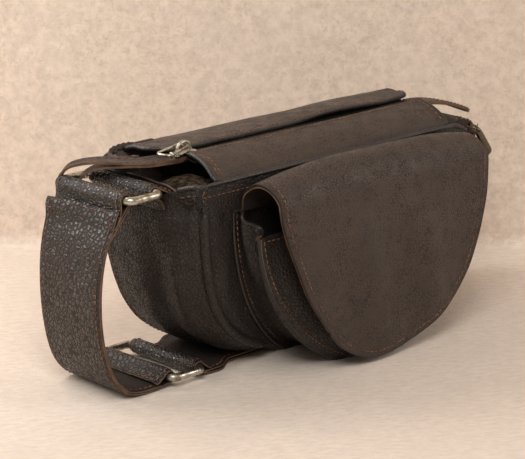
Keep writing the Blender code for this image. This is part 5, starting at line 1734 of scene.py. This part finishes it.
def build_stage():
    """Floor and backdrop in one sweep, four soft lamps, an even sky and the camera."""
    forward = (-sin(VIEW_YAW), cos(VIEW_YAW))
    across = (cos(VIEW_YAW), sin(VIEW_YAW))
    profile = [(-2.2, 0.0), (-1.0, 0.0), (0.12, 0.0)]
    profile += [(WALL_AT - COVE + COVE * sin(a), COVE - COVE * cos(a)) for a in np.linspace(0, pi / 2, 12)]
    profile += [(WALL_AT, 0.1), (WALL_AT, 0.5), (WALL_AT, 2.4)]
    guide = Guide(np.array(profile))

    def sweep(u, v):
        at = guide.point(np.interp(v, np.linspace(0, 1, len(guide.at)), guide.at))
        side = (u - 0.5) * 5.0
        x = forward[0] * at[..., 0] + across[0] * side
        y = forward[1] * at[..., 0] + across[1] * side
        return np.stack([x, y, at[..., 1]], -1)

    floor = lay_grid("sweep", sweep, 8, len(guide.at) - 1, borders="")
    floor.data.materials.append(stage_material("pale_stone"))
    make_active(floor)
    bpy.ops.object.shade_smooth()
    for lamp in LAMPS:
        hang_lamp(*lamp)
    world = bpy.data.worlds.new("studio")
    bpy.context.scene.world = world
    world.use_nodes = True
    sky = world.node_tree.nodes["Background"]
    sky.inputs["Color"].default_value = (0.95, 0.85, 0.76, 1.0)
    sky.inputs["Strength"].default_value = 0.32
    bpy.context.scene.view_settings.view_transform = "Standard"
    place_camera()


def hang_lamp(name, place, target, size, power):
    """A square soft box, aimed at the target."""
    deselect()
    bpy.ops.object.light_add(type="AREA", location=place)
    light = bpy.context.object
    light.name = name
    light.data.shape = "SQUARE"
    light.data.size = size
    light.data.energy = power
    light.rotation_euler = (Vector(target) - Vector(place)).to_track_quat("-Z", "Y").to_euler()


def place_camera():
    """The photo's view: long lens, from the left front and a little above."""
    back = Vector((sin(VIEW_YAW) * cos(VIEW_PITCH), -cos(VIEW_YAW) * cos(VIEW_PITCH), sin(VIEW_PITCH)))
    bpy.ops.object.camera_add(location=VIEW_TARGET + back * VIEW_DISTANCE)
    camera = bpy.context.object
    camera.rotation_euler = (-back).to_track_quat("-Z", "Y").to_euler()
    camera.data.sensor_width = SENSOR_WIDTH
    camera.data.lens = SENSOR_WIDTH * FOCAL_PIXELS / IMAGE_WIDTH
    camera.data.clip_end = 20.0
    bpy.context.scene.camera = camera


class BagSizes(bpy.types.PropertyGroup):
    """Sizes of the stitches."""
    stitch_pitch: FloatProperty(name="Stitch pitch", description="Distance from one stitch to the next",
                                default=0.0038, min=0.001, unit="LENGTH")
    stitch_length: FloatProperty(name="Stitch length",
                                 description="Length of thread that shows in one stitch",
                                 default=0.0028, min=0.0005, unit="LENGTH")
    thread: FloatProperty(name="Thread", description="Thickness of the sewing thread",
                          default=0.0007, min=0.0002, unit="LENGTH")


def colour(name, description, *default):
    """A colour that the panel shows."""
    return FloatVectorProperty(name=name, description=description, subtype="COLOR", default=default,
                               min=0, max=1)


class BagColours(bpy.types.PropertyGroup):
    """Linear colours of the bag and its stage."""
    leather: colour("Leather", "Smooth top, flap and strap", 0.050, 0.0312, 0.0222)
    strap_leather: colour("Strap leather", "Outer face of the strap", 0.030, 0.0190, 0.0140)
    leather_deep: colour("Deep leather", "Pebbled body and rolled edges", 0.022, 0.0143, 0.0106)
    cut_edge: colour("Cut edge", "Raw edge of the hide", 0.15, 0.080, 0.040)
    lining: colour("Lining", "Brushed cotton inside", 0.11, 0.075, 0.048)
    # The suede's dark tone is partly painted shade inside the opening; the paler suede colour below it is
    # painted light on a patch by the left front corner.
    suede: colour("Suede", "Rough side of the hide in the opening", 0.036, 0.021, 0.013)
    suede_painted_light: colour("Rubbed suede", "Where the suede has paled", 0.15, 0.096, 0.052)
    thread: colour("Thread", "Waxed sewing thread", 0.22, 0.092, 0.045)
    metal: colour("Nickel", "Rubbed antique nickel", 0.60, 0.56, 0.47)
    tarnish: colour("Tarnish", "Brown film in the metal's hollows", 0.26, 0.22, 0.16)
    tape: colour("Zip tape", "Woven zip tape", 0.016, 0.013, 0.011)
    stage: colour("Floor", "Pale stone floor", 0.80, 0.68, 0.575)
    stage_wall: colour("Wall", "Plastered wall behind", 0.78, 0.645, 0.53)
    stage_fleck: colour("Flecks", "Brown flecks in the plaster", 0.42, 0.30, 0.19)


def piece_operator(name, label, text, builder):
    """An operator class that builds one group of pieces."""

    def execute(self, context):
        builder()
        return {"FINISHED"}

    return type("BELT_BAG_OT_" + name, (bpy.types.Operator,),
                {"bl_idname": "belt_bag." + name, "bl_label": label, "__doc__": text, "execute": execute})


PIECES = (
    ("gusset", "Gusset", "Add the gusset's leather, its rolled top and its seams", build_gusset),
    ("panels", "Panels", "Add the front and back leather", build_panels),
    ("pleats", "Pleats", "Add the rolled pleats in the front seams", build_pleats),
    ("top", "Top panels", "Add the leather on both sides of the zip", build_top),
    ("zip", "Zip", "Add the zip's tapes, slider and puller", build_zip),
    ("tabs", "Zip tabs", "Add the leather tabs at the zip's ends", build_tabs),
    ("rings", "Rings", "Add the three wire rings", build_rings),
    ("bag_loops", "Ring loops", "Add the loops that hold the rings on the bag", build_bag_loops),
    ("bindings", "Bindings", "Add the sewn strips along the ends of the opening", build_bindings),
    ("left_strap", "Left strap", "Add the strap between the upper and lower rings", build_left_strap),
    ("under_strap", "Strap under the bag", "Add the strap that lies on the floor", build_under_strap),
    ("right_strap", "Right strap", "Add the strap that rises at the right end", build_right_strap),
    ("pocket", "Pocket", "Add the pocket's side, front and seams", build_pocket),
    ("flap", "Flap", "Add the flap with its lining and magnet", build_flap),
    ("linings", "Linings", "Add the cloth inside the bag", build_linings),
    ("stage", "Stage", "Add the sweep, the lamps and the camera", build_stage),
)
OPERATORS = [piece_operator(*piece) for piece in PIECES]


class BELT_BAG_PT_pieces(bpy.types.Panel):
    """Sizes, colours and pieces of the belt bag."""
    bl_label = "Belt Bag"
    bl_idname = "BELT_BAG_PT_pieces"
    bl_space_type = "VIEW_3D"
    bl_region_type = "UI"
    bl_category = "Belt Bag"

    def draw(self, context):
        for group in (context.scene.bag_sizes, context.scene.bag_colours):
            for key in group.__annotations__:
                self.layout.prop(group, key)
        for operator in OPERATORS:
            self.layout.operator(operator.bl_idname)


CLASSES = [BagSizes, BagColours, *OPERATORS, BELT_BAG_PT_pieces]


def register():
    """Make the bag's sizes, colours, operators and panel known to Blender."""
    for item in CLASSES:
        bpy.utils.register_class(item)
    bpy.types.Scene.bag_sizes = PointerProperty(type=BagSizes)
    bpy.types.Scene.bag_colours = PointerProperty(type=BagColours)


def unregister():
    """Take them away again."""
    del bpy.types.Scene.bag_colours
    del bpy.types.Scene.bag_sizes
    for item in reversed(CLASSES):
        bpy.utils.unregister_class(item)


def main():
    """Build the bag and its stage, and write the boxes before and after."""
    register()
    for piece in PIECES:
        getattr(bpy.ops.belt_bag, piece[0])()


if __name__ == "__main__":
    main()
